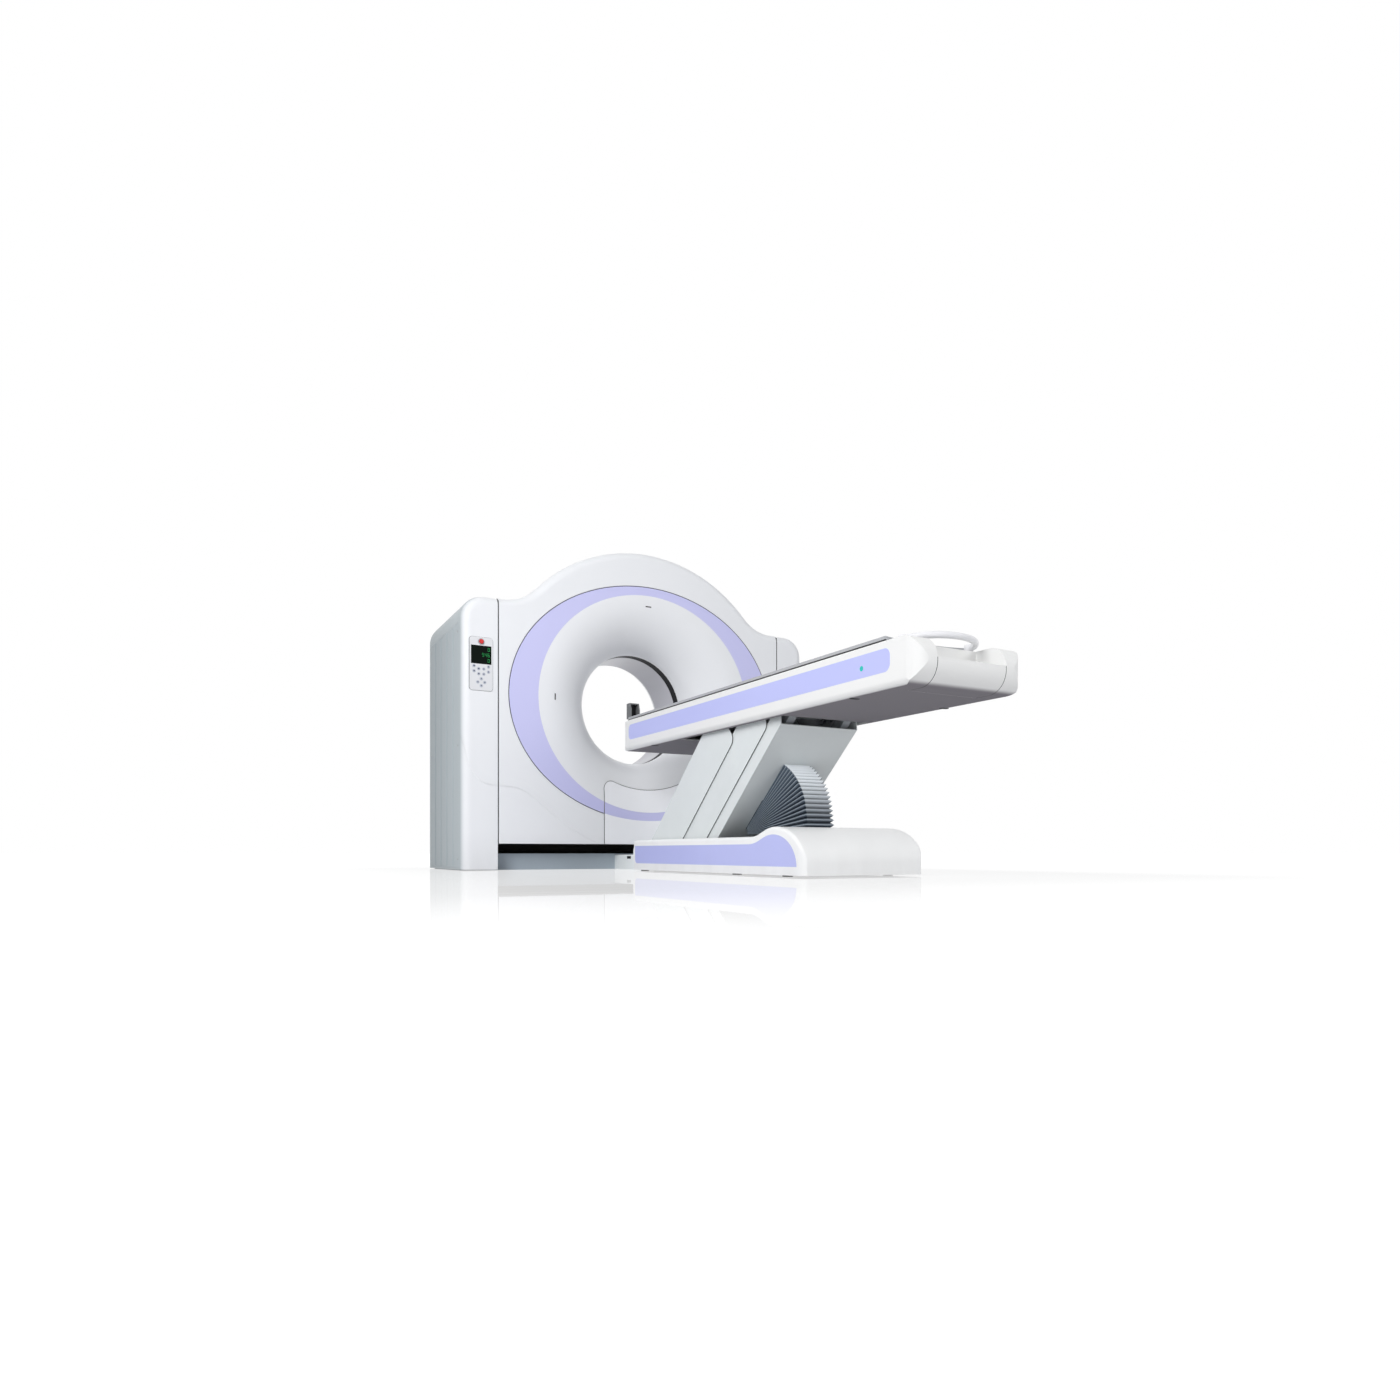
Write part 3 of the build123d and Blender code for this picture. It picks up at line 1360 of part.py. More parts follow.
# Pleated bellows, a fan of leaves from the base up to the leg's rear plate
hinge_off = rear_cover_back - 0.5
hinge_y = rear_pivot_y - bellows_along * lift_cos + hinge_off * lift_sin
hinge_z = pivot_height + bellows_along * lift_sin + hinge_off * lift_cos
bellows_step = (lift_angle - bellows_low_angle) / (2 * bellows_pleats)


def leaf_plane(angle):
    """Plane through the hinge line at an angle above level: local x out along the leaf, local y across."""
    return Plane(origin=(0, hinge_y, hinge_z), x_dir=(0, -cos(radians(angle)), sin(radians(angle))),
                 z_dir=(0, sin(radians(angle)), cos(radians(angle))))


with BuildPart() as bellows:
    for fold in range(2 * bellows_pleats):
        low = bellows_low_angle + fold * bellows_step
        high = low + bellows_step
        low_in = bellows_fold if fold % 2 == 0 else 0
        high_in = bellows_fold - low_in
        low_leaf = pleat(leaf_plane(low), bellows_half_width - low_in, bellows_radius - low_in)
        high_leaf = pleat(leaf_plane(high), bellows_half_width - high_in, bellows_radius - high_in)
        loft([low_leaf, high_leaf], ruled=True)
    hollow = bellows_fold + bellows_wall
    with BuildSketch(Plane.YZ):
        with Locations((hinge_y, hinge_z)):
            Circle(bellows_radius - hollow)
            Circle(bellows_inner + bellows_wall, mode=Mode.SUBTRACT)
    extrude(amount=bellows_half_width - hollow, both=True, mode=Mode.SUBTRACT)
bellows.part.label = "bellows"
export_step(bellows.part, "parts/bellows.step")

# Table top: housing with a deep well for the leg, steel frame, end cover and handle
stripe_head_y = head_y - table_stripe_head
stripe_foot_y = foot_y + table_stripe_foot
stripe_height = table_stripe_high - table_stripe_low
with BuildPart() as table_stripes:
    with BuildSketch(Plane.YZ.offset(table_half_width)):
        with Locations(((stripe_head_y + stripe_foot_y) / 2, table_bottom + table_stripe_low + stripe_height / 2)):
            RectangleRounded(stripe_head_y - stripe_foot_y, stripe_height, stripe_height * 0.42)
    extrude(amount=-stripe_depth)
    mirror(about=Plane.YZ)

notch_floor = table_top - notch_drop
with BuildPart() as table_hollow:
    add(table_block(table_wall))
    with BuildSketch(Plane.XY.offset(table_bottom)):
        with Locations((0, foot_y)):
            Rectangle(2 * (notch_half_width + table_wall), 2 * (notch_length + table_wall))
    extrude(amount=table_height, mode=Mode.SUBTRACT)

with BuildPart() as table_housing:
    add(table_block(0))
    add(table_hollow.part, mode=Mode.SUBTRACT)
    with BuildSketch(Plane.XY.offset(table_bottom)):
        with Locations((0, (well_front_y + well_back_y) / 2)):
            Rectangle(2 * well_half_width, well_front_y - well_back_y)
    extrude(amount=table_wall, mode=Mode.SUBTRACT)
    with BuildSketch(Plane.XY.offset(table_top - table_wall)):
        with Locations((0, (head_y - head_round - 20 + foot_y + notch_length + 60) / 2)):
            Rectangle(2 * (rail_half_width + runner_gap), head_y - head_round - 20 - foot_y - notch_length - 60)
    extrude(amount=table_wall, mode=Mode.SUBTRACT)
    with BuildSketch(Plane.XY.offset(table_bottom)):
        with Locations((0, foot_y)):
            Rectangle(2 * notch_half_width, 2 * notch_length)
    extrude(amount=table_height, mode=Mode.SUBTRACT)
    add(table_stripes.part, mode=Mode.SUBTRACT)
table_housing.part.label = "table_housing"
export_step(table_housing.part, "parts/table_housing.step")
table_stripes.part.label = "table_stripes"
export_step(table_stripes.part, "parts/table_stripes.step")

with BuildPart() as end_hollow:
    add(table_block(table_wall))
    with BuildSketch(Plane.XY.offset(table_bottom)):
        with Locations((0, foot_y)):
            Rectangle(2 * (notch_half_width - panel_gap - table_wall), 2 * (notch_length - table_wall))
    extrude(amount=table_height - notch_drop - table_wall, mode=Mode.INTERSECT)

with BuildPart() as foot_end_cover:
    add(table_block(0))
    with BuildSketch(Plane.XY.offset(table_bottom)):
        with Locations((0, foot_y)):
            Rectangle(2 * (notch_half_width - panel_gap), 2 * (notch_length - panel_gap))
    extrude(amount=table_height - notch_drop, mode=Mode.INTERSECT)
    add(end_hollow.part, mode=Mode.SUBTRACT)
foot_end_cover.part.label = "foot_end_cover"
export_step(foot_end_cover.part, "parts/foot_end_cover.step")

handle_foot_y = foot_y + notch_length - handle_radius - 8
with BuildPart() as foot_handle:
    with BuildLine() as hoop:
        rise_z = table_top + handle_rise - handle_radius - 24
        FilletPolyline((-handle_half_width, handle_foot_y, notch_floor),
                       (-handle_half_width, handle_foot_y - 10, rise_z),
                       (handle_half_width, handle_foot_y - 10, rise_z),
                       (handle_half_width, handle_foot_y, notch_floor), radius=70)
    with BuildSketch(Plane(origin=hoop.line @ 0, z_dir=hoop.line % 0)):
        Circle(handle_radius)
    sweep()
    add(foot_end_cover.part, mode=Mode.SUBTRACT)
foot_handle.part.label = "foot_handle"
export_step(foot_handle.part, "parts/foot_handle.step")

beam_x = well_half_width + beam_gap
beam_head = head_y - head_round - 30
beam_foot_y = foot_y + notch_length + table_wall + 20
with BuildPart() as table_frame:
    for side in (-1, 1):
        with BuildSketch(facing(beam_head)):
            with Locations((side * (beam_x + beam_width / 2), table_bottom + beam_foot)):
                Rectangle(beam_width, deck_z + deck_plate - table_bottom - beam_foot,
                          align=(Align.CENTER, Align.MIN))
            with Locations((side * (beam_x + beam_gap), table_bottom + table_wall)):
                Rectangle(2 * beam_gap, beam_foot - table_wall, align=(Align.CENTER, Align.MIN))
        extrude(amount=beam_head - beam_foot_y)
    with BuildSketch(Plane.XY.offset(deck_z)):
        with Locations((0, (beam_head + beam_foot_y) / 2)):
            Rectangle(2 * beam_x, beam_head - beam_foot_y)
        with Locations((0, beam_head - 180), (0, beam_foot_y + 220)):
            Rectangle(1.4 * beam_x, 200, mode=Mode.SUBTRACT)
    extrude(amount=deck_plate)
    rail_mid = (rail_inner + rail_half_width) / 2
    with BuildSketch(Plane.XY.offset(deck_z + deck_plate)):
        with Locations(*[(side * rail_mid, (beam_head + beam_foot_y) / 2) for side in (-1, 1)]):
            Rectangle(rail_half_width - rail_inner, beam_head - beam_foot_y)
    extrude(amount=rail_height)
    for pivot_y, hole in ((front_pivot_y, 0), (rear_pivot_y, pin_radius),
                          (mid_pivot_y, mid_rod_radius + rod_slot_gap)):
        for wall_x in (bracket_outer, bracket_inner - bracket_wall):
            for side in (-1, 1):
                start = wall_x if side == 1 else -wall_x - bracket_wall
                add(pivot_bracket(pivot_y + upper_shift, upper_z, start, deck_z + 2, -1, hole))
    with BuildSketch(arm_plane(front_pivot_y)):
        with Locations((arm_length, 0)):
            Circle(pin_radius)
    extrude(amount=bracket_outer + bracket_wall, both=True)
table_frame.part.label = "table_frame"
export_step(table_frame.part, "parts/table_frame.step")

# Cradle on its runners, with the socket for a head rest
runner_top = cradle_bottom + 6
runner_foot = cradle_foot + runner_end_gap
runner_head = head_y - head_round - 20 - runner_end_gap - cradle_travel
with BuildPart() as cradle_board:
    with BuildSketch(facing(cradle_foot)) as section:
        with BuildLine():
            low_half = 0.7 * cradle_half_width
            Polyline((-cradle_half_width, cradle_top), (-cradle_half_width, cradle_top - 12),
                     (-low_half, cradle_bottom), (low_half, cradle_bottom),
                     (cradle_half_width, cradle_top - 12), (cradle_half_width, cradle_top))
            ThreePointArc((-cradle_half_width, cradle_top), (0, cradle_top - cradle_dish),
                          (cradle_half_width, cradle_top))
        make_face()
    extrude(amount=cradle_foot - cradle_head)
    with BuildSketch(Plane.XY.offset(cradle_bottom)):
        with BuildLine():
            nose_y = cradle_head - cradle_nose
            Polyline((-cradle_half_width, nose_y), (-cradle_half_width, cradle_foot),
                     (cradle_half_width, cradle_foot), (cradle_half_width, nose_y))
            EllipticalCenterArc((0, nose_y), cradle_half_width, cradle_nose, start_angle=0, arc_size=180)
        make_face()
    extrude(amount=2 * cradle_thickness, mode=Mode.INTERSECT)
    with BuildSketch(Plane.YZ):
        Polygon((cradle_head - cradle_nose, cradle_bottom - 1), (cradle_head + 1, cradle_bottom - 1),
                (cradle_head + 1, cradle_top - cradle_dish - cradle_tip), align=None)
    extrude(amount=cradle_half_width, both=True, mode=Mode.SUBTRACT)
    rail_mid = (rail_inner + rail_half_width) / 2
    with BuildSketch(Plane.XY.offset(rail_top + seat_gap)):
        with Locations(*[(side * rail_mid, (runner_foot + runner_head) / 2) for side in (-1, 1)]):
            Rectangle(rail_half_width - rail_inner - 4, runner_head - runner_foot)
    extrude(amount=runner_top - rail_top)
cradle_board.part.label = "cradle_board"
export_step(cradle_board.part, "parts/cradle_board.step")

socket_y = cradle_head - socket_back
with BuildPart() as head_socket:
    with BuildSketch(Plane.YZ) as side_view:
        top_z = cradle_top + socket_height
        with BuildLine():
            Polyline((socket_y, cradle_top - cradle_dish), (socket_y, top_z - 14),
                     (socket_y - 18, top_z), (socket_y - socket_depth, top_z),
                     (socket_y - socket_depth, cradle_top - cradle_dish), close=True)
        make_face()
    extrude(amount=socket_width / 2, both=True)
    with BuildSketch(facing(socket_y - socket_depth)):
        with Locations((0, cradle_top + socket_height / 2)):
            Rectangle(socket_width - 2 * socket_wall, socket_height - 2 * socket_wall)
    extrude(amount=-(socket_depth - 12), mode=Mode.SUBTRACT)
    add(cradle_board.part, mode=Mode.SUBTRACT)
head_socket.part.label = "head_socket"
export_step(head_socket.part, "parts/head_socket.step")
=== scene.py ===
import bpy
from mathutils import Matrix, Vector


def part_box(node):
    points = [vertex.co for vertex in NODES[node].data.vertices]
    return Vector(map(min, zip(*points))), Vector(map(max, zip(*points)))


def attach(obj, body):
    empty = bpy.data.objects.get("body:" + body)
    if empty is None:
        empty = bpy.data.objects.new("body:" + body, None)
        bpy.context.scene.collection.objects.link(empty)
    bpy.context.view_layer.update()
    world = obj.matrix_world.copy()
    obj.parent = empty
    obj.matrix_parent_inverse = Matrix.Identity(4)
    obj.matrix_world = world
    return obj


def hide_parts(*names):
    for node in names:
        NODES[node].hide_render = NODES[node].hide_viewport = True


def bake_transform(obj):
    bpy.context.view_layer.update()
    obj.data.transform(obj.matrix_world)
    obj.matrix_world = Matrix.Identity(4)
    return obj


bl_info = {
    "name": "Tilting Ring Scanner",
    "version": (1, 0, 0),
    "blender": (4, 5, 0),
    "location": "View3D > Sidebar > Scanner",
    "description": "Finishes, fine pieces, lamps and camera for a tilting ring scanner and its patient table",
    "category": "Object",
}

from math import pi, radians

import bmesh
import bpy
import numpy as np
from bpy.props import FloatProperty, FloatVectorProperty, IntProperty, PointerProperty
from bpy.types import Operator, Panel, PropertyGroup
from mathutils import Vector

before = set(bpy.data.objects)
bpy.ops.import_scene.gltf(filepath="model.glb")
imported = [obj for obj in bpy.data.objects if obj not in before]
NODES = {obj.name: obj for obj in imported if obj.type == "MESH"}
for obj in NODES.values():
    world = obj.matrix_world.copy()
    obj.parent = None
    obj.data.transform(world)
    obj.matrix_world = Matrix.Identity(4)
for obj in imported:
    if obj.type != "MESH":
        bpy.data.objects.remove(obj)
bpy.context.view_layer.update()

AXIS_Z = 1.018  # height of the axis of the bore and of the tilt
FRONT_Y = -0.300  # plane of the front covers
MOUTH_RADIUS, DISH_ARC = 0.665, 0.31346  # rim of the front's dish, and the radius of the dish's section
JOINT_X = 0.947  # middle of the joints between the front cover and the columns
JOINT_FOOT, JOINT_TOP = 0.165, 1.538
PAN_Z, PAN_TOP = 0.690, 0.867  # underside and top of the table's housing
PAN_SIDE = 0.265  # half width of the table's housing
FOOT_ROUND, FOOT_Y = 0.084, -2.9146  # radius of the foot's round edge, and where its centre lies
POST_X, POST_Y = 0.164, -2.8146  # posts of the handle
SLEEVE_X, SLEEVE_HALF = 0.182, 0.0235  # head rest sleeves on the cradle: middle, and half width inside
NOTCH_X = 0.1676  # side of the notch in the foot
START_TURN = 0.001  # radians a round outline starts from level, so that no point lies between two corners
FOLD_HINGE = (0, -1.5435, 0.1881)  # line that the bellows' folds fan round
# painted shade: the grey that the columns' sides darken into towards the back
SHADED_BACK_GREY = (0.17, 0.20, 0.215)  # grey that the columns' sides sink into towards the back
BASE_WHITE = (0.93, 0.935, 0.93)
SIDES = (-1, 1)

# Distance from the middle and height of points on the front's moulded step, and the ranges they span
STEP_LINE = (
    (0.300, 0.142), (0.386, 0.178), (0.488, 0.231), (0.574, 0.291), (0.658, 0.357), (0.742, 0.422),
    (0.824, 0.468), (0.940, 0.481), (1.024, 0.493), (1.076, 0.530), (1.115, 0.597), (1.134, 0.673),
    (1.160, 0.790))
STEP_START, STEP_SPAN, STEP_TOP = 0.3, 0.86, 0.8


def corners_of(node):
    """Lowest and highest corner of one of the solids."""
    return tuple(np.array(point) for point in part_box(node))


# Meshes from worked out points

def grid_faces(rows, columns, wrap_rows=False, wrap_columns=False):
    """Quads between neighbouring points of a grid that was laid out row by row."""
    r = np.arange(rows if wrap_rows else rows - 1)
    c = np.arange(columns if wrap_columns else columns - 1)
    r, c = np.meshgrid(r, c, indexing="ij")
    r2, c2 = (r + 1) % rows, (c + 1) % columns
    quads = np.stack([r * columns + c, r * columns + c2, r2 * columns + c2, r2 * columns + c], axis=-1)
    return quads.reshape(-1, 4)


def make_mesh(name, points, faces, smooth=True):
    """A mesh object from points and faces."""
    mesh = bpy.data.meshes.new(name)
    mesh.from_pydata(np.reshape(points, (-1, 3)).tolist(), [], [list(map(int, face)) for face in faces])
    mesh.validate()
    mesh.polygons.foreach_set("use_smooth", [smooth] * len(mesh.polygons))
    piece = bpy.data.objects.new(name, mesh)
    bpy.context.scene.collection.objects.link(piece)
    return piece


def turned(profile, centre, axis, around, segments=32):
    """Surface of revolution. Each profile point (radius, height) is swung round the axis: the point is the
    centre, plus the height along the axis, plus the radius times the cosine and sine of the turn along the
    two directions square to it. The first and last radius may be 0, which closes the surface at its
    poles."""
    axis, side = np.array(axis, float), np.array(around, float)
    turn = np.linspace(0, 2 * pi, segments, endpoint=False)[:, None]
    radius, height = np.array(profile).T[:, :, None, None]
    ring = np.cos(turn) * side + np.sin(turn) * np.cross(axis, side)
    return centre + height * axis + radius * ring, grid_faces(len(profile), segments, wrap_columns=True)


def tube(rings):
    """Closed skin over rings of points that follow one another, with a cap at each end. Two like outlines
    make a plate or a prism."""
    ring = list(range(len(rings[0])))
    last = len(ring) * (len(rings) - 1)
    caps = [ring[::-1], [index + last for index in ring]]
    return np.array(rings), grid_faces(len(rings), len(ring), wrap_columns=True).tolist() + caps


def block(low, high):
    """Box between two opposite corners."""
    (x, y, z), (x2, y2, z2) = low, high
    return tube([[(x, y, level), (x2, y, level), (x2, y2, level), (x, y2, level)] for level in (z, z2)])


def headings(path):
    """Unit vectors along a line of points."""
    ahead = np.gradient(path, axis=0)
    return ahead / np.linalg.norm(ahead, axis=1)[:, None]


def rounded(middle, half, radius, count):
    """Outline of a rectangle with round corners: at each turn the corner's centre, plus the radius times the
    cosine of the turn along and the sine of the turn up."""
    t = np.linspace(0, 2 * pi, count + 1)[:-1] + START_TURN
    way = np.stack([np.cos(t), np.sin(t)])
    centre = np.reshape(middle, (2, 1)) + np.sign(way) * np.reshape(np.subtract(half, radius), (2, 1))
    return centre + radius * way


def place(name, parts, body, material, smooth=False):
    """One piece from several sets of points and faces, with doubles merged and the faces turned outwards. It
    gets its material and the body that it moves with."""
    points, faces = [], []
    for part_points, part_faces in parts:
        faces += (np.array(face) + len(points) for face in part_faces)
        points += np.reshape(part_points, (-1, 3)).tolist()
    piece = make_mesh(name, points, faces, smooth)
    work = bmesh.new()
    work.from_mesh(piece.data)
    bmesh.ops.remove_doubles(work, verts=work.verts, dist=1e-6)
    bmesh.ops.recalc_face_normals(work, faces=work.faces)
    work.to_mesh(piece.data)
    work.free()
    piece.data.materials.append(material)
    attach(piece, body)
    return piece


# Shader nodes

def new_group(name, inputs, outputs):
    """An empty shader group. An input whose default is a tuple is a colour, and any other is a value.
    Returns the group, the sockets that bring its inputs and the sockets that take its outputs."""
    kinds = {"Colour": "NodeSocketColor", "Normal": "NodeSocketVector"}
    group = bpy.data.node_groups.new(name, "ShaderNodeTree")
    for label, default in inputs.items():
        kind = "NodeSocketColor" if isinstance(default, tuple) else "NodeSocketFloat"
        group.interface.new_socket(label, in_out="INPUT", socket_type=kind).default_value = default
    for label in outputs:
        group.interface.new_socket(label, in_out="OUTPUT", socket_type=kinds.get(label, "NodeSocketFloat"))
    return group, group.nodes.new("NodeGroupInput").outputs, group.nodes.new("NodeGroupOutput").inputs


def feed(tree, socket, value):
    """Give an input a link from a socket, or else a plain number or colour."""
    if isinstance(value, (int, float)):
        socket.default_value = value
    elif isinstance(value, (tuple, list)):
        socket.default_value = (*value[:3], 1)
    else:
        tree.links.new(value, socket)


def deliver(group, leave, **values):
    """Link values to the outputs of a group."""
    for label, value in values.items():
        group.links.new(value, leave[label])


def math_node(tree, operation, *values, clamp=False):
    """A Math node whose inputs may be sockets or plain numbers. Returns its output."""
    node = tree.nodes.new("ShaderNodeMath")
    node.operation = operation
    node.use_clamp = clamp
    for socket, value in zip(node.inputs, values):
        feed(tree, socket, value)
    return node.outputs[0]


def span(tree, first, second):
    """Root of the sum of two squares."""
    squares = [math_node(tree, "POWER", value, 2.0) for value in (first, second)]
    return math_node(tree, "SQRT", math_node(tree, "ADD", *squares))


def past(tree, value, limit):
    """How far the absolute of a value goes beyond a limit, or 0."""
    beyond = math_node(tree, "SUBTRACT", math_node(tree, "ABSOLUTE", value), limit)
    return math_node(tree, "MAXIMUM", beyond, 0.0)


def blend_colours(tree, factor, first, second):
    """A Mix node for colours. Any input may be a socket or a plain value. Returns its output."""
    node = tree.nodes.new("ShaderNodeMix")
    node.data_type = "RGBA"
    for index, value in ((0, factor), (6, first), (7, second)):
        feed(tree, node.inputs[index], value)
    return node.outputs[2]


def mix_shaders(tree, factor, first, second):
    """A Mix Shader node. Returns its output."""
    node = tree.nodes.new("ShaderNodeMixShader")
    for socket, value in zip(node.inputs, (factor, first, second)):
        tree.links.new(value, socket)
    return node.outputs[0]


def light_node(tree, kind, colour, **values):
    """A shader node with a colour, and with its other inputs by name. Returns its output."""
    node = tree.nodes.new(kind)
    node.inputs["Color"].default_value = (*colour, 1)
    for label, value in values.items():
        node.inputs[label].default_value = value
    return node.outputs[0]


def seen_straight(tree):
    """1 for camera, glossy and transmission rays, from the material's own Light Path."""
    path = tree.nodes.new("ShaderNodeLightPath").outputs
    sight = math_node(tree, "MAXIMUM", path["Is Camera Ray"], path["Is Glossy Ray"])
    return math_node(tree, "MAXIMUM", sight, path["Is Transmission Ray"])


def scaled(tree, colour, factor):
    """A colour times a value."""
    node = tree.nodes.new("ShaderNodeVectorMath")
    node.operation = "SCALE"
    tree.links.new(colour, node.inputs[0])
    tree.links.new(factor, node.inputs["Scale"])
    return node.outputs[0]


def object_noise(tree, scale, detail=3.0, rough=0.5, stretch=None):
    """Noise over the piece's own coordinates, in cells per metre. scale may be a socket."""
    where = tree.nodes.new("ShaderNodeTexCoord").outputs["Object"]
    if stretch:
        mapping = tree.nodes.new("ShaderNodeMapping")
        mapping.inputs["Scale"].default_value = stretch
        tree.links.new(where, mapping.inputs["Vector"])
        where = mapping.outputs[0]
    noise = tree.nodes.new("ShaderNodeTexNoise")
    tree.links.new(where, noise.inputs["Vector"])
    for label, value in (("Scale", scale), ("Detail", detail), ("Roughness", rough)):
        feed(tree, noise.inputs[label], value)
    return noise.outputs["Fac"]


def bumped(tree, height, strength, distance, normal=None):
    """A Bump node, over another normal where one is given. Returns its normal."""
    bump = tree.nodes.new("ShaderNodeBump")
    made_from = {"Strength": strength, "Distance": distance, "Height": height, "Normal": normal}
    for label, value in made_from.items():
        if value is not None:
            feed(tree, bump.inputs[label], value)
    return bump.outputs["Normal"]


def three_parts(tree, output="Object"):
    """The piece's own coordinates, or its own normal, as three sockets."""
    split = tree.nodes.new("ShaderNodeSeparateXYZ")
    tree.links.new(tree.nodes.new("ShaderNodeTexCoord").outputs[output], split.inputs[0])
    return tuple(split.outputs)


def eased(tree, value, low, high, kind="SMOOTHSTEP"):
    """Smooth step of a value: 0 at low, 1 at high, also where high is the smaller one."""
    node = tree.nodes.new("ShaderNodeMapRange")
    node.interpolation_type = kind
    for label, number in (("From Min", low), ("From Max", high), ("Value", value)):
        feed(tree, node.inputs[label], number)
    return node.outputs[0]


def all_of(tree, first, *others):
    """Product of several masks."""
    for other in others:
        first = math_node(tree, "MULTIPLY", first, other)
    return first


def between(tree, *steps):
    """Product of smooth steps, each given as a value, where it is 0 and where it is 1."""
    return all_of(tree, *(eased(tree, *step) for step in steps))


def painted_shade_towards_back(tree, y):
    """How far the columns' sides are darkened with painted shade, from the front to the back."""
    return all_of(tree, eased(tree, y, -0.25, 0.50), 0.45)


# Shader node groups

def cover_zones_group():
    """Zones of the gantry's covers: grey that wraps the columns' outer sides with a soft edge at the front
    and darkens towards the back as painted shade; painted shade as a dark tone inside the joints, round the
    hatch's seam and under the bottom edge; and a shallow moulded step that sweeps down from the columns to
    the middle.
    The step's line gives the height z at each distance |x| from the middle."""
    group, take, leave = new_group(
        "Cover Zones",
        {"Skin": (0.9, 0.9, 0.9, 1), "Panel": (0.4, 0.4, 0.4, 1), "Painted Shade": (0.05, 0.05, 0.06, 1)},
        ("Colour", "Step"))
    x, y, z = three_parts(group)
    nx, ny, nz = three_parts(group, "Normal")
    wide, sideways, forward = (math_node(group, "ABSOLUTE", value) for value in (x, nx, ny))
    wrap = between(group, (wide, 1.02, 1.04), (y, -0.296, -0.250), (sideways, 0.15, 0.55), (y, 0.512, 0.500))
    # painted shade: dark tone in the joints' gaps, round the hatch's seam and under the covers' bottom edge
    joint = between(group, (wide, 0.9405, 0.9425), (wide, 0.9545, 0.9525), (sideways, 0.6, 0.8))
    hatch = between(group, (wide, 0.345, 0.34), (z, 0.56, 0.55), (y, -0.22, -0.24), (forward, 0.45, 0.25))
    under = between(group, (z, 0.175, 0.165), (nz, -0.5, -0.8), (wide, 0.95, 0.945))
    lip_shade = math_node(group, "MAXIMUM", math_node(group, "MAXIMUM", joint, hatch), under)
    # painted shade: the side grey darkens towards the back
    panel = blend_colours(group, painted_shade_towards_back(group, y), take["Panel"], SHADED_BACK_GREY)
    colour = blend_colours(group, wrap, take["Skin"], panel)
    line = group.nodes.new("ShaderNodeFloatCurve")
    points = line.mapping.curves[0].points
    for index, (across, up) in enumerate(STEP_LINE):
        spot = ((across - STEP_START) / STEP_SPAN, up / STEP_TOP)
        if 0 < index < len(STEP_LINE) - 1:
            points.new(*spot)
        else:
            points[0 if index == 0 else -1].location = spot
    line.mapping.update()
    share = math_node(group, "DIVIDE", math_node(group, "SUBTRACT", wide, STEP_START), STEP_SPAN)
    group.links.new(share, line.inputs["Value"])
    above = math_node(group, "SUBTRACT", z, math_node(group, "MULTIPLY", line.outputs[0], STEP_TOP))
    deliver(group, leave, Colour=blend_colours(group, lip_shade, colour, take["Painted Shade"]),
            Step=between(group, (above, -0.007, 0.007), (y, -0.235, -0.27)))


def moulded_skin_group():
    """Smooth moulded or painted skin: a fine orange-peel ripple, faint clouding of the tone and roughness,
    and a little grey from wiping and feet near the floor."""
    group, take, leave = new_group(
        "Moulded Skin",
        {"Tint": (0.9, 0.9, 0.9, 1), "Gloss": 0.3, "Peel Size": 260.0, "Peel Depth": 0.12, "Scuff": 0.25},
        ("Colour", "Roughness", "Normal"))
    clouds = object_noise(group, 1.3, 4.0, 0.55)
    smears = object_noise(group, 9.0, 5.0, 0.62, (1.0, 1.0, 0.25))
    peel = object_noise(group, take["Peel Size"], 1.0, 0.4)
    near_floor = eased(group, three_parts(group)[2], 0.22, 0.0, "LINEAR")
    dirt = math_node(group, "MULTIPLY", all_of(group, near_floor, smears), take["Scuff"], clamp=True)
    tone = scaled(group, take["Tint"], math_node(group, "MULTIPLY_ADD", clouds, -0.035, 1.015))
    deliver(group, leave, Colour=blend_colours(group, dirt, tone, (0.32, 0.31, 0.30)),
            Roughness=math_node(group, "MULTIPLY_ADD", smears, 0.10, take["Gloss"]),
            Normal=bumped(group, peel, take["Peel Depth"], 0.0004))


def sprayed_grain_group():
    """Powder coat or cast metal: speckled grains of two sizes, darker in the pits."""
    group, take, leave = new_group(
        "Sprayed Grain",
        {"Tint": (0.5, 0.5, 0.5, 1), "Gloss": 0.45, "Grain Size": 700.0, "Grain Depth": 0.3, "Speckle": 0.15},
        ("Colour", "Roughness", "Normal"))
    fine = object_noise(group, take["Grain Size"], 2.0, 0.6)
    broad = object_noise(group, 6.0, 4.0, 0.6)
    dark = math_node(group, "MULTIPLY", fine, take["Speckle"], clamp=True)
    speckled = blend_colours(group, dark, take["Tint"], (0.05, 0.05, 0.055))
    deliver(group, leave, Colour=scaled(group, speckled, math_node(group, "MULTIPLY_ADD", broad, 0.10, 0.97)),
            Roughness=math_node(group, "MULTIPLY_ADD", broad, 0.14, take["Gloss"]),
            Normal=bumped(group, fine, take["Grain Depth"], 0.0005))


def machined_metal_group():
    """Turned or brushed metal: long fine scratches along one direction over a mottled polish."""
    group, take, leave = new_group(
        "Machined Metal", {"Tint": (0.7, 0.7, 0.72, 1), "Polish": 0.25, "Scratch": 0.2},
        ("Colour", "Roughness", "Normal"))
    lines = object_noise(group, 90.0, 3.0, 0.7, (1.0, 1.0, 14.0))
    mottle = object_noise(group, 14.0, 5.0, 0.6)
    dark = math_node(group, "MULTIPLY", mottle, 0.22)
    deliver(group, leave, Colour=blend_colours(group, dark, take["Tint"], (0.18, 0.18, 0.19)),
            Roughness=math_node(group, "MULTIPLY_ADD", mottle, 0.22, take["Polish"]),
            Normal=bumped(group, lines, take["Scratch"], 0.0002))


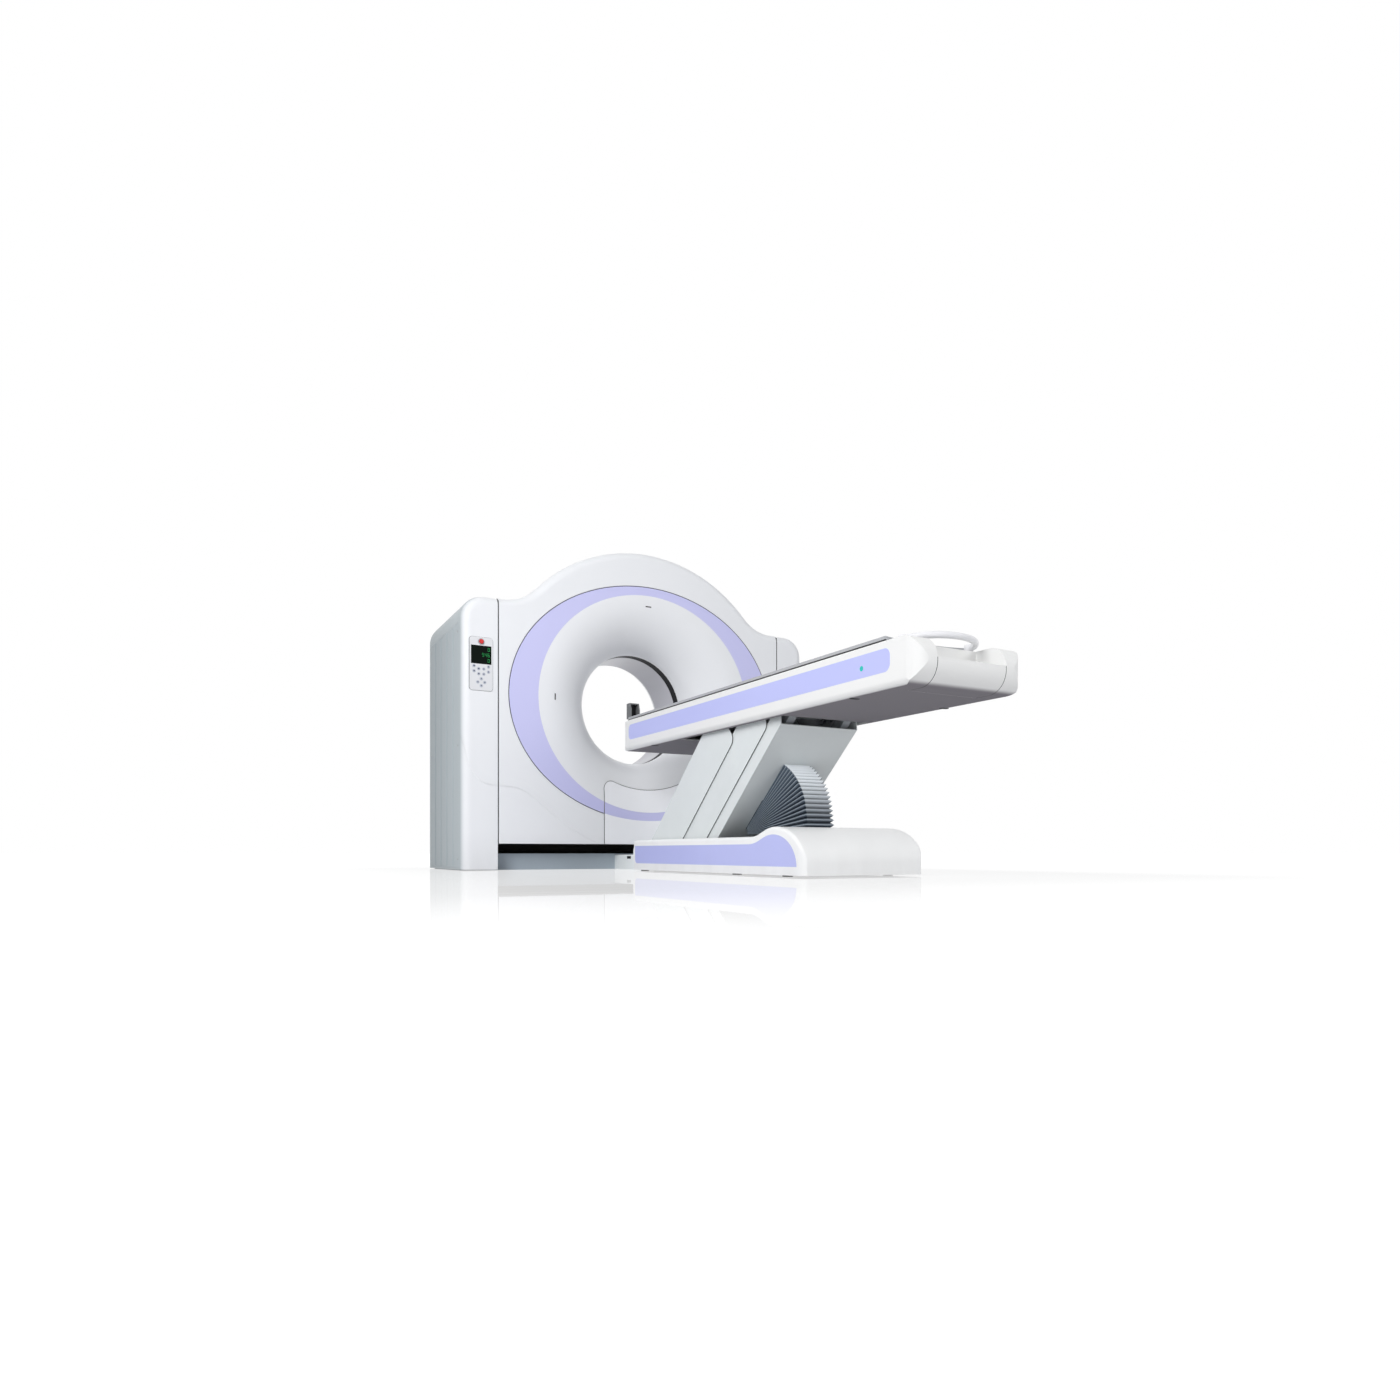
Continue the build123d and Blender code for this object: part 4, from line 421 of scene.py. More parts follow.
# Materials

def shader_of(material):
    """A material's node tree, its shader's inputs and its finish group's outputs."""
    tree = material.node_tree
    worker = next(node for node in tree.nodes if node.type == "GROUP")
    return tree, tree.nodes["Principled BSDF"].inputs, worker.outputs


def finish(name, group, tint, metallic=0.0, coat=0.0, coat_roughness=0.1, specular=0.5, **values):
    """A material whose colour, roughness and normal come from one of the groups."""
    material = bpy.data.materials.new(name)
    material.use_nodes = True
    worker = material.node_tree.nodes.new("ShaderNodeGroup")
    worker.node_tree = bpy.data.node_groups[group]
    worker.inputs["Tint"].default_value = (*tint[:3], 1)
    for label, value in values.items():
        worker.inputs[label.replace("_", " ").title()].default_value = value
    tree, shader, made = shader_of(material)
    for label, output in (("Base Color", "Colour"), ("Roughness", "Roughness"), ("Normal", "Normal")):
        tree.links.new(made[output], shader[label])
    for label, value in (("Metallic", metallic), ("Specular IOR Level", specular), ("Coat Weight", coat),
                         ("Coat Roughness", coat_roughness)):
        shader[label].default_value = value
    return material


def skin(name, tint, **values):
    """A moulded or painted finish."""
    return finish(name, "Moulded Skin", tint, **values)


def grain(name, tint, **values):
    """A sprayed, cast or rubber finish."""
    return finish(name, "Sprayed Grain", tint, **values)


def metal(name, tint, **values):
    """A machined metal finish."""
    return finish(name, "Machined Metal", tint, metallic=1.0, **values)


def rubber(name, tint, gloss=0.6, grain_size=500.0):
    """A plain dark seal."""
    return grain(name, tint, gloss=gloss, grain_size=grain_size, speckle=0.0)


def overlaid(material, mask, colour):
    """Mix a colour over a material's own, where a mask of its own tree says so."""
    tree, shader, _ = shader_of(material)
    own = shader["Base Color"].links[0].from_socket
    tree.links.new(blend_colours(tree, mask, own, colour), shader["Base Color"])
    return material


def zoned(material, panel):
    """Run a skin material's colour through the cover zones and lay the moulded step over its normal."""
    tree, shader, made = shader_of(material)
    zones = tree.nodes.new("ShaderNodeGroup")
    zones.node_tree = bpy.data.node_groups["Cover Zones"]
    zones.inputs["Panel"].default_value = (*panel, 1)
    # painted shade for the joints, the hatch's seam and the covers' bottom edge
    zones.inputs["Painted Shade"].default_value = (0.045, 0.045, 0.055, 1)
    tree.links.new(made["Colour"], zones.inputs["Skin"])
    tree.links.new(zones.outputs["Colour"], shader["Base Color"])
    tree.links.new(bumped(tree, zones.outputs["Step"], 1.0, 0.0028, made["Normal"]), shader["Normal"])
    return material


def shaded_towards_back(material):
    """Darken a material towards the back with painted shade, as the columns' grey is."""
    tree = material.node_tree
    return overlaid(material, painted_shade_towards_back(tree, three_parts(tree)[1]), SHADED_BACK_GREY)


def shaded_plate_edges(material, inner, outer):
    """Mix painted shade, a dark tone, over the cut edges of plates that lie between two distances from the
    middle.
    """
    tree = material.node_tree
    wide, sideways = (math_node(tree, "ABSOLUTE", three_parts(tree, kind)[0])
                      for kind in ("Object", "Normal"))
    edge = between(tree, (sideways, 0.6, 0.3), (wide, inner - 0.0004, inner + 0.0002),
                   (wide, outer + 0.0004, outer - 0.0002))
    return overlaid(material, edge, (0.02, 0.02, 0.022))


def board_grey_and_shadow(material):
    """Grey on the board's flanks, and painted shadow as a dark tone low down and underneath."""
    tree = material.node_tree
    z, up = three_parts(tree)[2], three_parts(tree, "Normal")[2]
    overlaid(material, eased(tree, up, 0.75, 0.45), (0.43, 0.44, 0.46))
    # painted shadow: dark under the board, where it sits on the table
    low = math_node(tree, "MAXIMUM", eased(tree, z, 0.881, 0.877), eased(tree, up, -0.3, -0.6))
    return overlaid(material, low, (0.045, 0.045, 0.05))


def shaded_underside(material):
    """Mix painted shade, a darker, duller tone without a coat, over the low faces that look down."""
    tree, shader, made = shader_of(material)
    mask = between(tree, (three_parts(tree, "Normal")[2], -0.80, -0.96), (three_parts(tree)[2], 0.73, 0.72))
    dull = math_node(tree, "MAXIMUM", made["Roughness"], all_of(tree, mask, 0.95))
    tree.links.new(dull, shader["Roughness"])
    coat = shader["Coat Weight"]
    tree.links.new(all_of(tree, math_node(tree, "SUBTRACT", 1.0, mask), coat.default_value), coat)
    return overlaid(material, mask, (0.225, 0.212, 0.232))


def with_end(material):
    """End the base's stripe in round corners short of the cover's head end: white wherever the distance from
    the corner's centre is more than its radius."""
    tree = material.node_tree
    _, y, z = three_parts(tree)
    radius, middle, half, end = 0.026, 0.1095, 0.0675, 0.794
    rise = past(tree, math_node(tree, "SUBTRACT", z, middle), half - radius)
    over = math_node(tree, "MAXIMUM", math_node(tree, "ADD", y, end + radius), 0.0)
    outside = all_of(tree, eased(tree, span(tree, rise, over), radius, radius + 0.0008),
                     math_node(tree, "GREATER_THAN", y, -end - radius))
    return overlaid(material, outside, BASE_WHITE)


def glowing(name, colour, strength):
    """Lit segments of the display."""
    material = bpy.data.materials.new(name)
    material.use_nodes = True
    tree = material.node_tree
    shader = tree.nodes["Principled BSDF"].inputs
    flicker = math_node(tree, "MULTIPLY", object_noise(tree, 900.0, 1.0), 0.25)
    tint = blend_colours(tree, flicker, colour, (0.0, 0.1, 0.02))
    tree.links.new(tint, shader["Base Color"])
    tree.links.new(tint, shader["Emission Color"])
    shader["Emission Strength"].default_value = strength
    shader["Roughness"].default_value = 0.35
    return material


# Settings and operators

def colour_property(label, words, value):
    """A colour that a user may change."""
    return FloatVectorProperty(name=label, description=words, default=value, subtype="COLOR", size=3,
                               min=0, max=1)


def length_property(label, words, value):
    """A length that a user may change."""
    return FloatProperty(name=label, description=words, default=value, unit="LENGTH")


class ScannerColours(PropertyGroup):
    """Colours of the scanner's finishes."""

    cover_white: colour_property("Covers", "White of the gantry's moulded covers", (0.85, 0.86, 0.88))
    table_white: colour_property("Table", "Warm white of the table's covers", (0.825, 0.825, 0.815))
    band_lilac: colour_property("Band", "Lilac of the crescent on the front", (0.60, 0.60, 0.90))
    stripe_lilac: colour_property("Stripes", "Lilac of the table's stripes", (0.50, 0.53, 0.90))
    panel_grey: colour_property("Side panels", "Grey of the columns' side panels", (0.42, 0.475, 0.50))
    plinth_grey: colour_property("Plinth", "Blue-grey of the steel plinth", (0.45, 0.52, 0.58))
    duct_grey: colour_property("Duct", "Light grey of the floor duct", (0.90, 0.94, 0.945))
    leg_grey: colour_property("Leg", "Light grey of the leg's plates", (0.72, 0.755, 0.755))
    bellows_slate: colour_property("Bellows", "Slate of the bellows' cloth", (0.10, 0.135, 0.18))
    # painted highlight: paler tone on the outer folds
    bellows_crest_highlight: colour_property("Bellows highlight", "Paler tone on the outer folds", (0.42, 0.48, 0.54))
    display_green: colour_property("Digits", "Green of the display's digits", (0.02, 0.42, 0.10))


class ScannerSizes(PropertyGroup):
    """Sizes of the fine pieces."""

    pleats: IntProperty(name="Pleats", description="Folds of the bellows", default=17, min=4, max=60)
    fold_depth: length_property("Fold depth", "How far the inner folds lie behind the outer ones", 0.013)
    screw_radius: length_property("Screw head", "Radius of the side panels' screw heads", 0.006)
    # painted shade: the dark beads stand for the shade in the front's joints
    seam_shade_width: length_property("Seam shade width", "Width of the dark beads in the front's joints", 0.0058)
    hoop_radius: length_property("Hoop tube", "Radius of the tube of the handle at the foot", 0.013)
    lamp_level: FloatProperty(name="Lamp level", description="Overall level of the soft lamps", default=1.0)


class SCANNER_OT_camera(Operator):
    """Camera at the photograph's low viewpoint, left of the table's foot"""

    bl_idname = "scanner.camera"
    bl_label = "Camera"

    def execute(self, context):
        lens = bpy.data.cameras.new("Viewpoint")
        lens.sensor_width = 36.0
        lens.lens = 23.33
        lens.shift_y = 0.109
        lens.clip_start, lens.clip_end = 0.05, 200
        camera = bpy.data.objects.new("Viewpoint", lens)
        camera.location = (-2.4205, -5.3822, 0.1005)
        camera.rotation_euler = (radians(90), 0, radians(-28.7))
        context.scene.collection.objects.link(camera)
        context.scene.camera = camera
        context.scene.view_settings.view_transform = "Standard"
        return {"FINISHED"}


class SCANNER_OT_stage(Operator):
    """Glossy white floor, white surroundings and three soft lamps"""

    bl_idname = "scanner.stage"
    bl_label = "Stage"

    def execute(self, context):
        level = context.scene.scanner_sizes.lamp_level
        reach = 60.0
        ends = [(-reach, -reach, 0), (reach, -reach, 0), (reach, reach, 0), (-reach, reach, 0)]
        floor = make_mesh("floor", ends, [[0, 1, 2, 3]], smooth=False)
        floor.data.materials.append(self.gloss())

        world = bpy.data.worlds.new("Soft white room")
        world.use_nodes = True
        context.scene.world = world
        tree = world.node_tree
        tree.nodes.clear()
        room = light_node(tree, "ShaderNodeBackground", (0.95, 0.97, 1.0), Strength=0.42 * level)
        backdrop = light_node(tree, "ShaderNodeBackground", (1, 1, 1), Strength=1.0)
        output = tree.nodes.new("ShaderNodeOutputWorld")
        tree.links.new(mix_shaders(tree, seen_straight(tree), room, backdrop), output.inputs[0])

        for name, place_at, aim, size, power in (
            ("key lamp", (-5.0, -4.4, 3.6), (0.0, -0.8, 0.8), 3.4, 262),
            ("fill lamp", (2.2, -8.6, 1.4), (0.0, -1.2, 0.6), 3.0, 110),
            ("rear lamp", (0.5, 5.0, 4.5), (0.0, 0.0, 1.0), 4.0, 100),
        ):
            light = bpy.data.lights.new(name, "AREA")
            light.shape = "DISK"
            light.size = size
            light.energy = power * level
            lamp = bpy.data.objects.new(name, light)
            lamp.location = place_at
            lamp.rotation_euler = (Vector(aim) - Vector(place_at)).to_track_quat("-Z", "Y").to_euler()
            lamp.visible_glossy = False
            context.scene.collection.objects.link(lamp)
        return {"FINISHED"}

    def gloss(self):
        """Floor that is white far off. Nearer to the machine's footprint it turns into a mirror, and close
        to it also into a plain surface that shows the shadow. Other rays than straight ones meet plain
        white."""
        material = bpy.data.materials.new("White gloss floor")
        material.use_nodes = True
        tree = material.node_tree
        tree.nodes.clear()
        half_width, half_length, middle = 1.16, 1.75, -1.20
        mirror_share, shadow_share = 0.42, 0.19
        x, y, _ = three_parts(tree)
        ahead = math_node(tree, "SUBTRACT", y, middle)
        away = span(tree, past(tree, x, half_width), past(tree, ahead, half_length))
        white = light_node(tree, "ShaderNodeEmission", (1, 1, 1), Strength=1.15)
        shaded = light_node(tree, "ShaderNodeBsdfDiffuse", (0.97, 0.97, 0.97))
        plain = light_node(tree, "ShaderNodeBsdfDiffuse", (0.70, 0.70, 0.715))
        mirror = tree.nodes.new("ShaderNodeBsdfGlossy")
        mirror.inputs["Roughness"].default_value = 0.02
        close = all_of(tree, eased(tree, away, 0.7, 0.0), shadow_share)
        near = all_of(tree, eased(tree, away, 2.3, 0.3), mirror_share)
        lit = mix_shaders(tree, close, white, shaded)
        seen = mix_shaders(tree, near, lit, mirror.outputs[0])
        output = tree.nodes.new("ShaderNodeOutputMaterial")
        tree.links.new(mix_shaders(tree, seen_straight(tree), plain, seen), output.inputs[0])
        return material


class SCANNER_OT_finishes(Operator):
    """Procedural finishes on all of the solids"""

    bl_idname = "scanner.finishes"
    bl_label = "Finishes"

    def execute(self, context):
        look = context.scene.scanner_colours
        for make_group in (moulded_skin_group, sprayed_grain_group, machined_metal_group, cover_zones_group):
            make_group()
        cover = dict(coat=0.10, gloss=0.36, peel_depth=0.10)
        table = dict(coat=0.12, gloss=0.34, peel_depth=0.10)
        plate = dict(coat=0.1, gloss=0.34, grain_size=900.0, grain_depth=0.12, speckle=0.03)
        stripe = dict(coat=0.2, gloss=0.30, scuff=0.1)
        for names, material in (
            ("ring_cover rear_cover", skin("Cover white", look.cover_white, **cover)),
            ("left_column_cover right_column_cover front_cover",
             zoned(skin("Front cover white", look.cover_white, **cover), tuple(look.panel_grey))),
            ("access_panel", skin("Hatch white", (0.96, 0.97, 1.0), **cover)),
            # painted shade on the table's underside
            ("table_housing foot_end_cover", shaded_underside(skin("Table white", look.table_white, **table))),
            ("table_base_cover", skin("Base cover white", BASE_WHITE, **table)),
            # painted shade: the liner's white darkened, as inside the bore
            ("bore_liner", skin("Liner white", (0.52, 0.52, 0.57), coat=0.2, gloss=0.25, peel_depth=0.05)),
            ("lilac_band", skin("Band lilac", look.band_lilac, coat=0.2, gloss=0.30, scuff=0.0)),
            ("base_stripes", with_end(skin("Base stripe lilac", look.stripe_lilac, **stripe))),
            ("table_stripes", skin("Stripe lilac", look.stripe_lilac, **stripe)),
            # painted shade: the side panels darken towards the back
            ("side_panels", shaded_towards_back(grain("Panel grey", look.panel_grey, gloss=0.38, grain_size=520.0,
                                           grain_depth=0.35, speckle=0.06))),
            ("gantry_base",
             grain("Plinth blue-grey", look.plinth_grey, gloss=0.40, grain_size=600.0, speckle=0.18)),
            ("floor_duct", grain("Duct grey", look.duct_grey, gloss=0.40, grain_size=600.0, speckle=0.03)),
            ("rear_leg_cover", grain("Leg grey", look.leg_grey, **plate)),
            # painted shade on the leg plates' edges
            ("front_leg_cover", shaded_plate_edges(grain("Front leg grey", look.leg_grey, **plate), 0.218, 0.222)),
            ("mid_leg_cover", shaded_plate_edges(grain("Middle leg grey", look.leg_grey, **plate), 0.212, 0.216)),
            ("table_base_frame gantry_frame front_arm rear_arm",
             grain("Frame paint", (0.33, 0.35, 0.37), gloss=0.42, grain_size=350.0)),
            ("tilt_gearmotor drive_motor hv_generator actuator_body",
             grain("Motor enamel", (0.05, 0.06, 0.075), coat=0.2, gloss=0.35, grain_size=300.0)),
            ("counterweight", grain("Cast iron", (0.07, 0.07, 0.075), metallic=0.6, gloss=0.55,
                                    grain_size=220.0, grain_depth=0.8, speckle=0.3)),
            ("xray_tube", skin("Tube enamel", (0.58, 0.57, 0.50), coat=0.4, gloss=0.2, peel_depth=0.3)),
            ("detector_array", grain("Black anodised", (0.03, 0.033, 0.04), metallic=0.5, gloss=0.38,
                                     grain_size=900.0, grain_depth=0.1)),
            ("base_feet drive_belt", grain("Black rubber", (0.015, 0.015, 0.016), gloss=0.62,
                                           grain_size=450.0, grain_depth=0.5, speckle=0.0)),
            ("rotor_drum motor_pulley table_frame", metal("Milled alloy", (0.66, 0.67, 0.69), polish=0.26)),
            ("trunnion_bearings", metal("Ground steel", (0.52, 0.53, 0.55), polish=0.16)),
            ("actuator_rod", metal("Hard chrome", (0.72, 0.73, 0.75), polish=0.06, scratch=0.05)),
            ("collimator slip_ring", metal("Brass", (0.60, 0.42, 0.16), polish=0.18)),
            ("keypad_panel", skin("Pad membrane", (0.76, 0.765, 0.785), gloss=0.42, peel_size=700.0,
                                  peel_depth=0.25, scuff=0.0)),
            ("keypad_display", skin("Display glass", (0.004, 0.007, 0.005), specular=0.05, gloss=0.30,
                                    peel_depth=0.0, scuff=0.0)),
            ("stop_button", skin("Stop red", (0.62, 0.012, 0.012), coat=0.6, gloss=0.22, peel_depth=0.05,
                                 scuff=0.0)),
            ("scan_window", skin("Scan window film", (0.006, 0.006, 0.010), specular=0.06, gloss=0.4,
                                 peel_depth=0.05, scuff=0.0)),
            ("laser_windows", skin("Slit glass", (0.02, 0.018, 0.02), coat=1.0, gloss=0.1, scuff=0.0)),
            ("bellows", grain("Bellows cloth", look.bellows_slate, gloss=0.6, grain_size=900.0,
                              grain_depth=0.4, speckle=0.1)),
            ("cradle_board", board_grey_and_shadow(skin("Cradle laminate", (0.66, 0.66, 0.68), coat=0.3, gloss=0.28,
                                              scuff=0.0))),
            ("foot_handle", skin("Handle white", (0.80, 0.80, 0.82), coat=0.3, gloss=0.28, scuff=0.0)),
            ("head_socket", grain("Socket grey", (0.17, 0.175, 0.18), gloss=0.45, grain_size=800.0)),
            (" ".join(n for n in NODES if n.startswith("key_")),
             skin("Key cap", (0.50, 0.53, 0.60), gloss=0.30, peel_size=900.0, scuff=0.0)),
        ):
            for node in names.split():
                NODES[node].data.materials.clear()
                NODES[node].data.materials.append(material)
        bare = [n for n in NODES if not NODES[n].data.materials]
        if bare:
            raise RuntimeError(f"no finish on {bare}")
        return {"FINISHED"}


class SCANNER_OT_bellows(Operator):
    """Pleated bellows, and a flange on the leg's link"""

    bl_idname = "scanner.bellows"
    bl_label = "Bellows"

    def execute(self, context):
        sizes, look = context.scene.scanner_sizes, context.scene.scanner_colours
        low, high, leg = radians(1.6), radians(41.5), radians(41.9)
        points, marks, faces = self.fan(sizes.pleats, sizes.fold_depth, FOLD_HINGE, low, high)
        piece = make_mesh("bellows_folds", points, faces[:, ::-1], smooth=False)
        for name, values in marks.items():
            mark = piece.data.attributes.new(name, "FLOAT", "POINT")
            mark.data.foreach_set("value", values.astype(np.float32))
        cloth = piece.modifiers.new("cloth thickness", "SOLIDIFY")
        cloth.thickness = 0.0016
        cloth.offset = -1
        piece.data.materials.append(self.cloth(look, marks))
        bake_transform(piece)
        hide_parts("bellows")
        place("bellows_flange", self.flange(FOLD_HINGE, leg), "rear_link",
              grain("Bellows flange", (0.05, 0.065, 0.085), gloss=0.5, grain_size=700.0))
        return {"FINISHED"}

    def cloth(self, look, marks):
        """Coated cloth with painted light and shade: painted shade as dark valleys and undersides, a painted
        highlight as paler ridges, and painted light on the upper folds' outer edge."""
        material = grain("Bellows coated cloth", look.bellows_slate, gloss=0.46, grain_size=1100.0,
                         grain_depth=0.30, speckle=0.08)
        tree, shader, made = shader_of(material)
        read = {}
        for name in marks:
            node = tree.nodes.new("ShaderNodeAttribute")
            node.attribute_name = name
            read[name] = node.outputs["Fac"]
        shaded_valley = eased(tree, read["ridge"], 0.60, 0.0)
        shadow = all_of(tree, eased(tree, read["flank"], 0.25, 0.75), 0.75)
        crest_highlight = all_of(tree, eased(tree, read["ridge"], 0.72, 1.0), 0.85)
        open_share = math_node(tree, "SUBTRACT", 1.0, all_of(tree, shaded_valley, 0.55))
        light = all_of(tree, read["end"], eased(tree, read["rise"], 0.0, 0.75), open_share)
        # painted shade: the lower folds darker, then painted shade and highlights laid over them
        side = blend_colours(tree, read["rise"], (0.045, 0.06, 0.085), made["Colour"])
        for mask, tone in ((shadow, (0.03, 0.042, 0.06)), (shaded_valley, (0.004, 0.006, 0.010)),
                           (crest_highlight, tuple(look.bellows_crest_highlight)), (light, (0.86, 0.90, 0.93))):
            side = blend_colours(tree, mask, side, tone)
        tree.links.new(side, shader["Base Color"])
        return material

    def flange(self, hinge, angle):
        """Two rails and a cross bar between the last fold and the leg's plate, laid along the leaf's
        direction. The middle stays open for the actuator."""
        made = []
        for low, high in (((-0.0805, 0.045, -0.0012), (-0.066, 0.488, 0.0012)),
                          ((0.066, 0.045, -0.0012), (0.0805, 0.488, 0.0012)),
                          ((-0.070, 0.474, -0.0010), (0.070, 0.4875, 0.0010))):
            points, faces = block(low, high)
            across, along, off = points.reshape(-1, 3).T
            y = hinge[1] - along * np.cos(angle) + off * np.sin(angle)
            z = hinge[2] + along * np.sin(angle) + off * np.cos(angle)
            made.append((np.stack([across, y, z], axis=-1), faces))
        return made

    def fan(self, pleats, depth, hinge, low, high):
        """Fan of folds round a hinge line. The first parameter is the angle above level, from low to high,
        and the fold's inset goes up and down with it as a zigzag with slightly rounded tips. The second
        follows a leaf's edge: out along one side, across the outer edge and back, with tight corners. A
        point is the hinge, plus its distance along the leaf's direction, plus its offset across. The sides'
        inset shrinks towards the hinge, where the leaves lie closer together."""
        inner, reach, half, radius = 0.046, 0.540, 0.077, 0.005
        t = np.linspace(0, 1, pleats * 6 + 1)
        wave = np.arcsin(0.985 * np.cos(2 * pi * pleats * t)) / np.arcsin(0.985)
        fold = (0.5 - 0.5 * wave)[:, None]
        angle = (low + (high - low) * t)[:, None]
        reach = (reach * (1 - 0.11 * np.clip((t - 0.35) / 0.65, 0, 1) ** 1.6))[:, None]
        side = np.linspace(0, 1, 9)
        bend = np.linspace(0, pi / 2, 4)[1:-1]
        flat = np.linspace(-1, 1, 9)
        kind = np.concatenate([0 * side, 1 + 0 * bend, 2 + 0 * flat, 3 + 0 * bend, 4 + 0 * side])
        share = np.concatenate([side, bend, flat, bend, side[::-1]])
        out = np.where((kind == 0) | (kind == 4), share, 1)
        wide = half - depth * fold * (0.25 + 0.75 * out)
        edge, inside = reach - depth * fold - radius, wide - radius
        parts = [kind == number for number in range(4)]
        sine, cosine = radius * np.sin(share), radius * np.cos(share)
        straight = inner + (edge - inner) * out
        along = np.select(parts[1:], [edge + sine, edge + radius, edge + cosine], straight)
        across = np.select(parts, [-wide, -inside - cosine, inside * share, inside + sine], wide)
        y, z = hinge[1] - along * np.cos(angle), hinge[2] + along * np.sin(angle)
        points = np.stack([across, y, z], axis=-1)
        shape = points.shape[:2]
        flank = 0.5 + 0.5 * np.sin(2 * pi * pleats * t)[:, None]
        marks = {"ridge": 1 - fold, "rise": t[:, None], "flank": flank, "end": parts[2].astype(float)}
        marks = {name: np.broadcast_to(mark, shape).ravel() for name, mark in marks.items()}
        return points, marks, grid_faces(*shape)


class SCANNER_OT_seams(Operator):
    """Dark beads of painted shade in the joints of the front covers, the moulded step, and a dark skirt of
    painted shade above the plinth
    """

    bl_idname = "scanner.seams"
    bl_label = "Seams"

    def execute(self, context):
        width = context.scene.scanner_sizes.seam_shade_width
        pad = rounded((-1.046, 1.165), (0.0672, 0.1512), 0.018, 96).T
        pad = np.concatenate([pad, pad[:1]])
        # painted shade: dark beads laid in the ring's and the hatch's seams
        for name, body, line, wide, seal in (
            ("ring_seam_shade", "gantry", self.oval(0.885, 0.722, AXIS_Z, 0.2955), width,
             rubber("Seam shade bead", (0.10, 0.095, 0.14))),
            ("hatch_seam_shade", "gantry", self.hatch(), width, rubber("Hatch seam shade", (0.17, 0.17, 0.17))),
            # painted shadow: dark outline round the pad
            ("pad_shadow_outline", "stand", pad, 0.0036, rubber("Pad shadow outline", (0.16, 0.16, 0.17), 0.5)),
        ):
            place(name, [self.bead(line, wide)], body, seal, smooth=True)
        # painted shade: dark strips in the gaps between the front cover and the columns
        half, front, back = 0.0026, -0.2965, -0.288
        strips = [block((side * JOINT_X - half, front, JOINT_FOOT), (side * JOINT_X + half, back, JOINT_TOP))
                  for side in SIDES]
        place("joint_shade_strips", strips, "stand",
              rubber("Joint shade", (0.012, 0.012, 0.013), 0.75, 300.0))
        for name, body, start, end, covers in (
            ("front_step", "gantry", 0.43, 0.925, ("front_cover", "front_cover")),
            ("column_step", "stand", 0.966, 1.095, ("left_column_cover", "right_column_cover")),
        ):
            ridges = [self.ridge(side, start, end, cover) for side, cover in zip(SIDES, covers)]
            place(name, ridges, body, bpy.data.materials["Front cover white"])
        # painted shade: dark skirt in the gap above the plinth
        place("gap_shade_skirt", [self.skirt()], "stand",
              rubber("Skirt shade", (0.008, 0.008, 0.009), 0.75, 300.0))
        return {"FINISHED"}

    def oval(self, half_width, half_height, centre, gap):
        """Oval line in the plane of the front, left open where the hatch is: the cosine of the turn times
        the half width across, the sine of it times the half height up."""
        t = np.linspace(-pi / 2, 3 * pi / 2, 721)
        foot = np.arcsin(min(gap / half_width, 1))
        t = t[(t > -pi / 2 + foot) & (t < 3 * pi / 2 - foot)]
        return np.stack([half_width * np.cos(t), centre + half_height * np.sin(t)], axis=-1)

    def hatch(self):
        """Line round the lower service hatch: straight up one side, round a corner, along an arc that
        dips to the middle, and down the other side."""
        half, foot, corner_z, centre, arc, dip, bend_radius = 0.295, 0.154, 0.4829, 0.243, 0.588, 1.075, 0.052
        meet = np.arctan2(0.5921, centre)
        side = np.stack([np.full(40, -half), np.linspace(foot, corner_z, 40)], axis=-1)
        turn = np.linspace(pi, meet, 24)[1:]
        bend = np.stack([np.cos(turn), np.sin(turn)], axis=-1) * bend_radius + (-centre, corner_z)
        swing = np.linspace(-(pi - meet), -pi / 2, 40)[1:]
        top = np.stack([arc * np.cos(swing), dip + arc * np.sin(swing)], axis=-1)
        left = np.concatenate([side, bend, top])
        return np.concatenate([left, left[-2::-1] * [-1, 1]])

    def bead(self, path, width):
        """Slim raised bead along a line on the front. The front is flat outside the mouth, and inside it the
        dish sinks by the arc's radius less the root of its square less the square of the distance from the
        mouth's rim. The bead's section has its edges just under that surface and its middle just over it."""
        ahead = headings(path)
        square = np.stack([ahead[:, 1], -ahead[:, 0]], axis=-1)
        rows = []
        for shift, lift in ((-0.5, 0.0006), (0.0, -0.0007), (0.5, 0.0006), (0.0, 0.0018)):
            x, z = (path + square * shift * width).T
            inside = np.clip(MOUTH_RADIUS - np.hypot(x, z - AXIS_Z), 0, DISH_ARC - 0.0005)
            y = FRONT_Y + DISH_ARC - np.sqrt(DISH_ARC ** 2 - inside ** 2) + lift
            rows.append(np.stack([x, y, z], axis=-1))
        points = np.stack(rows, axis=1)
        if np.allclose(path[0], path[-1]):
            return points[:-1], grid_faces(len(path) - 1, 4, wrap_rows=True, wrap_columns=True)
        return tube(points)

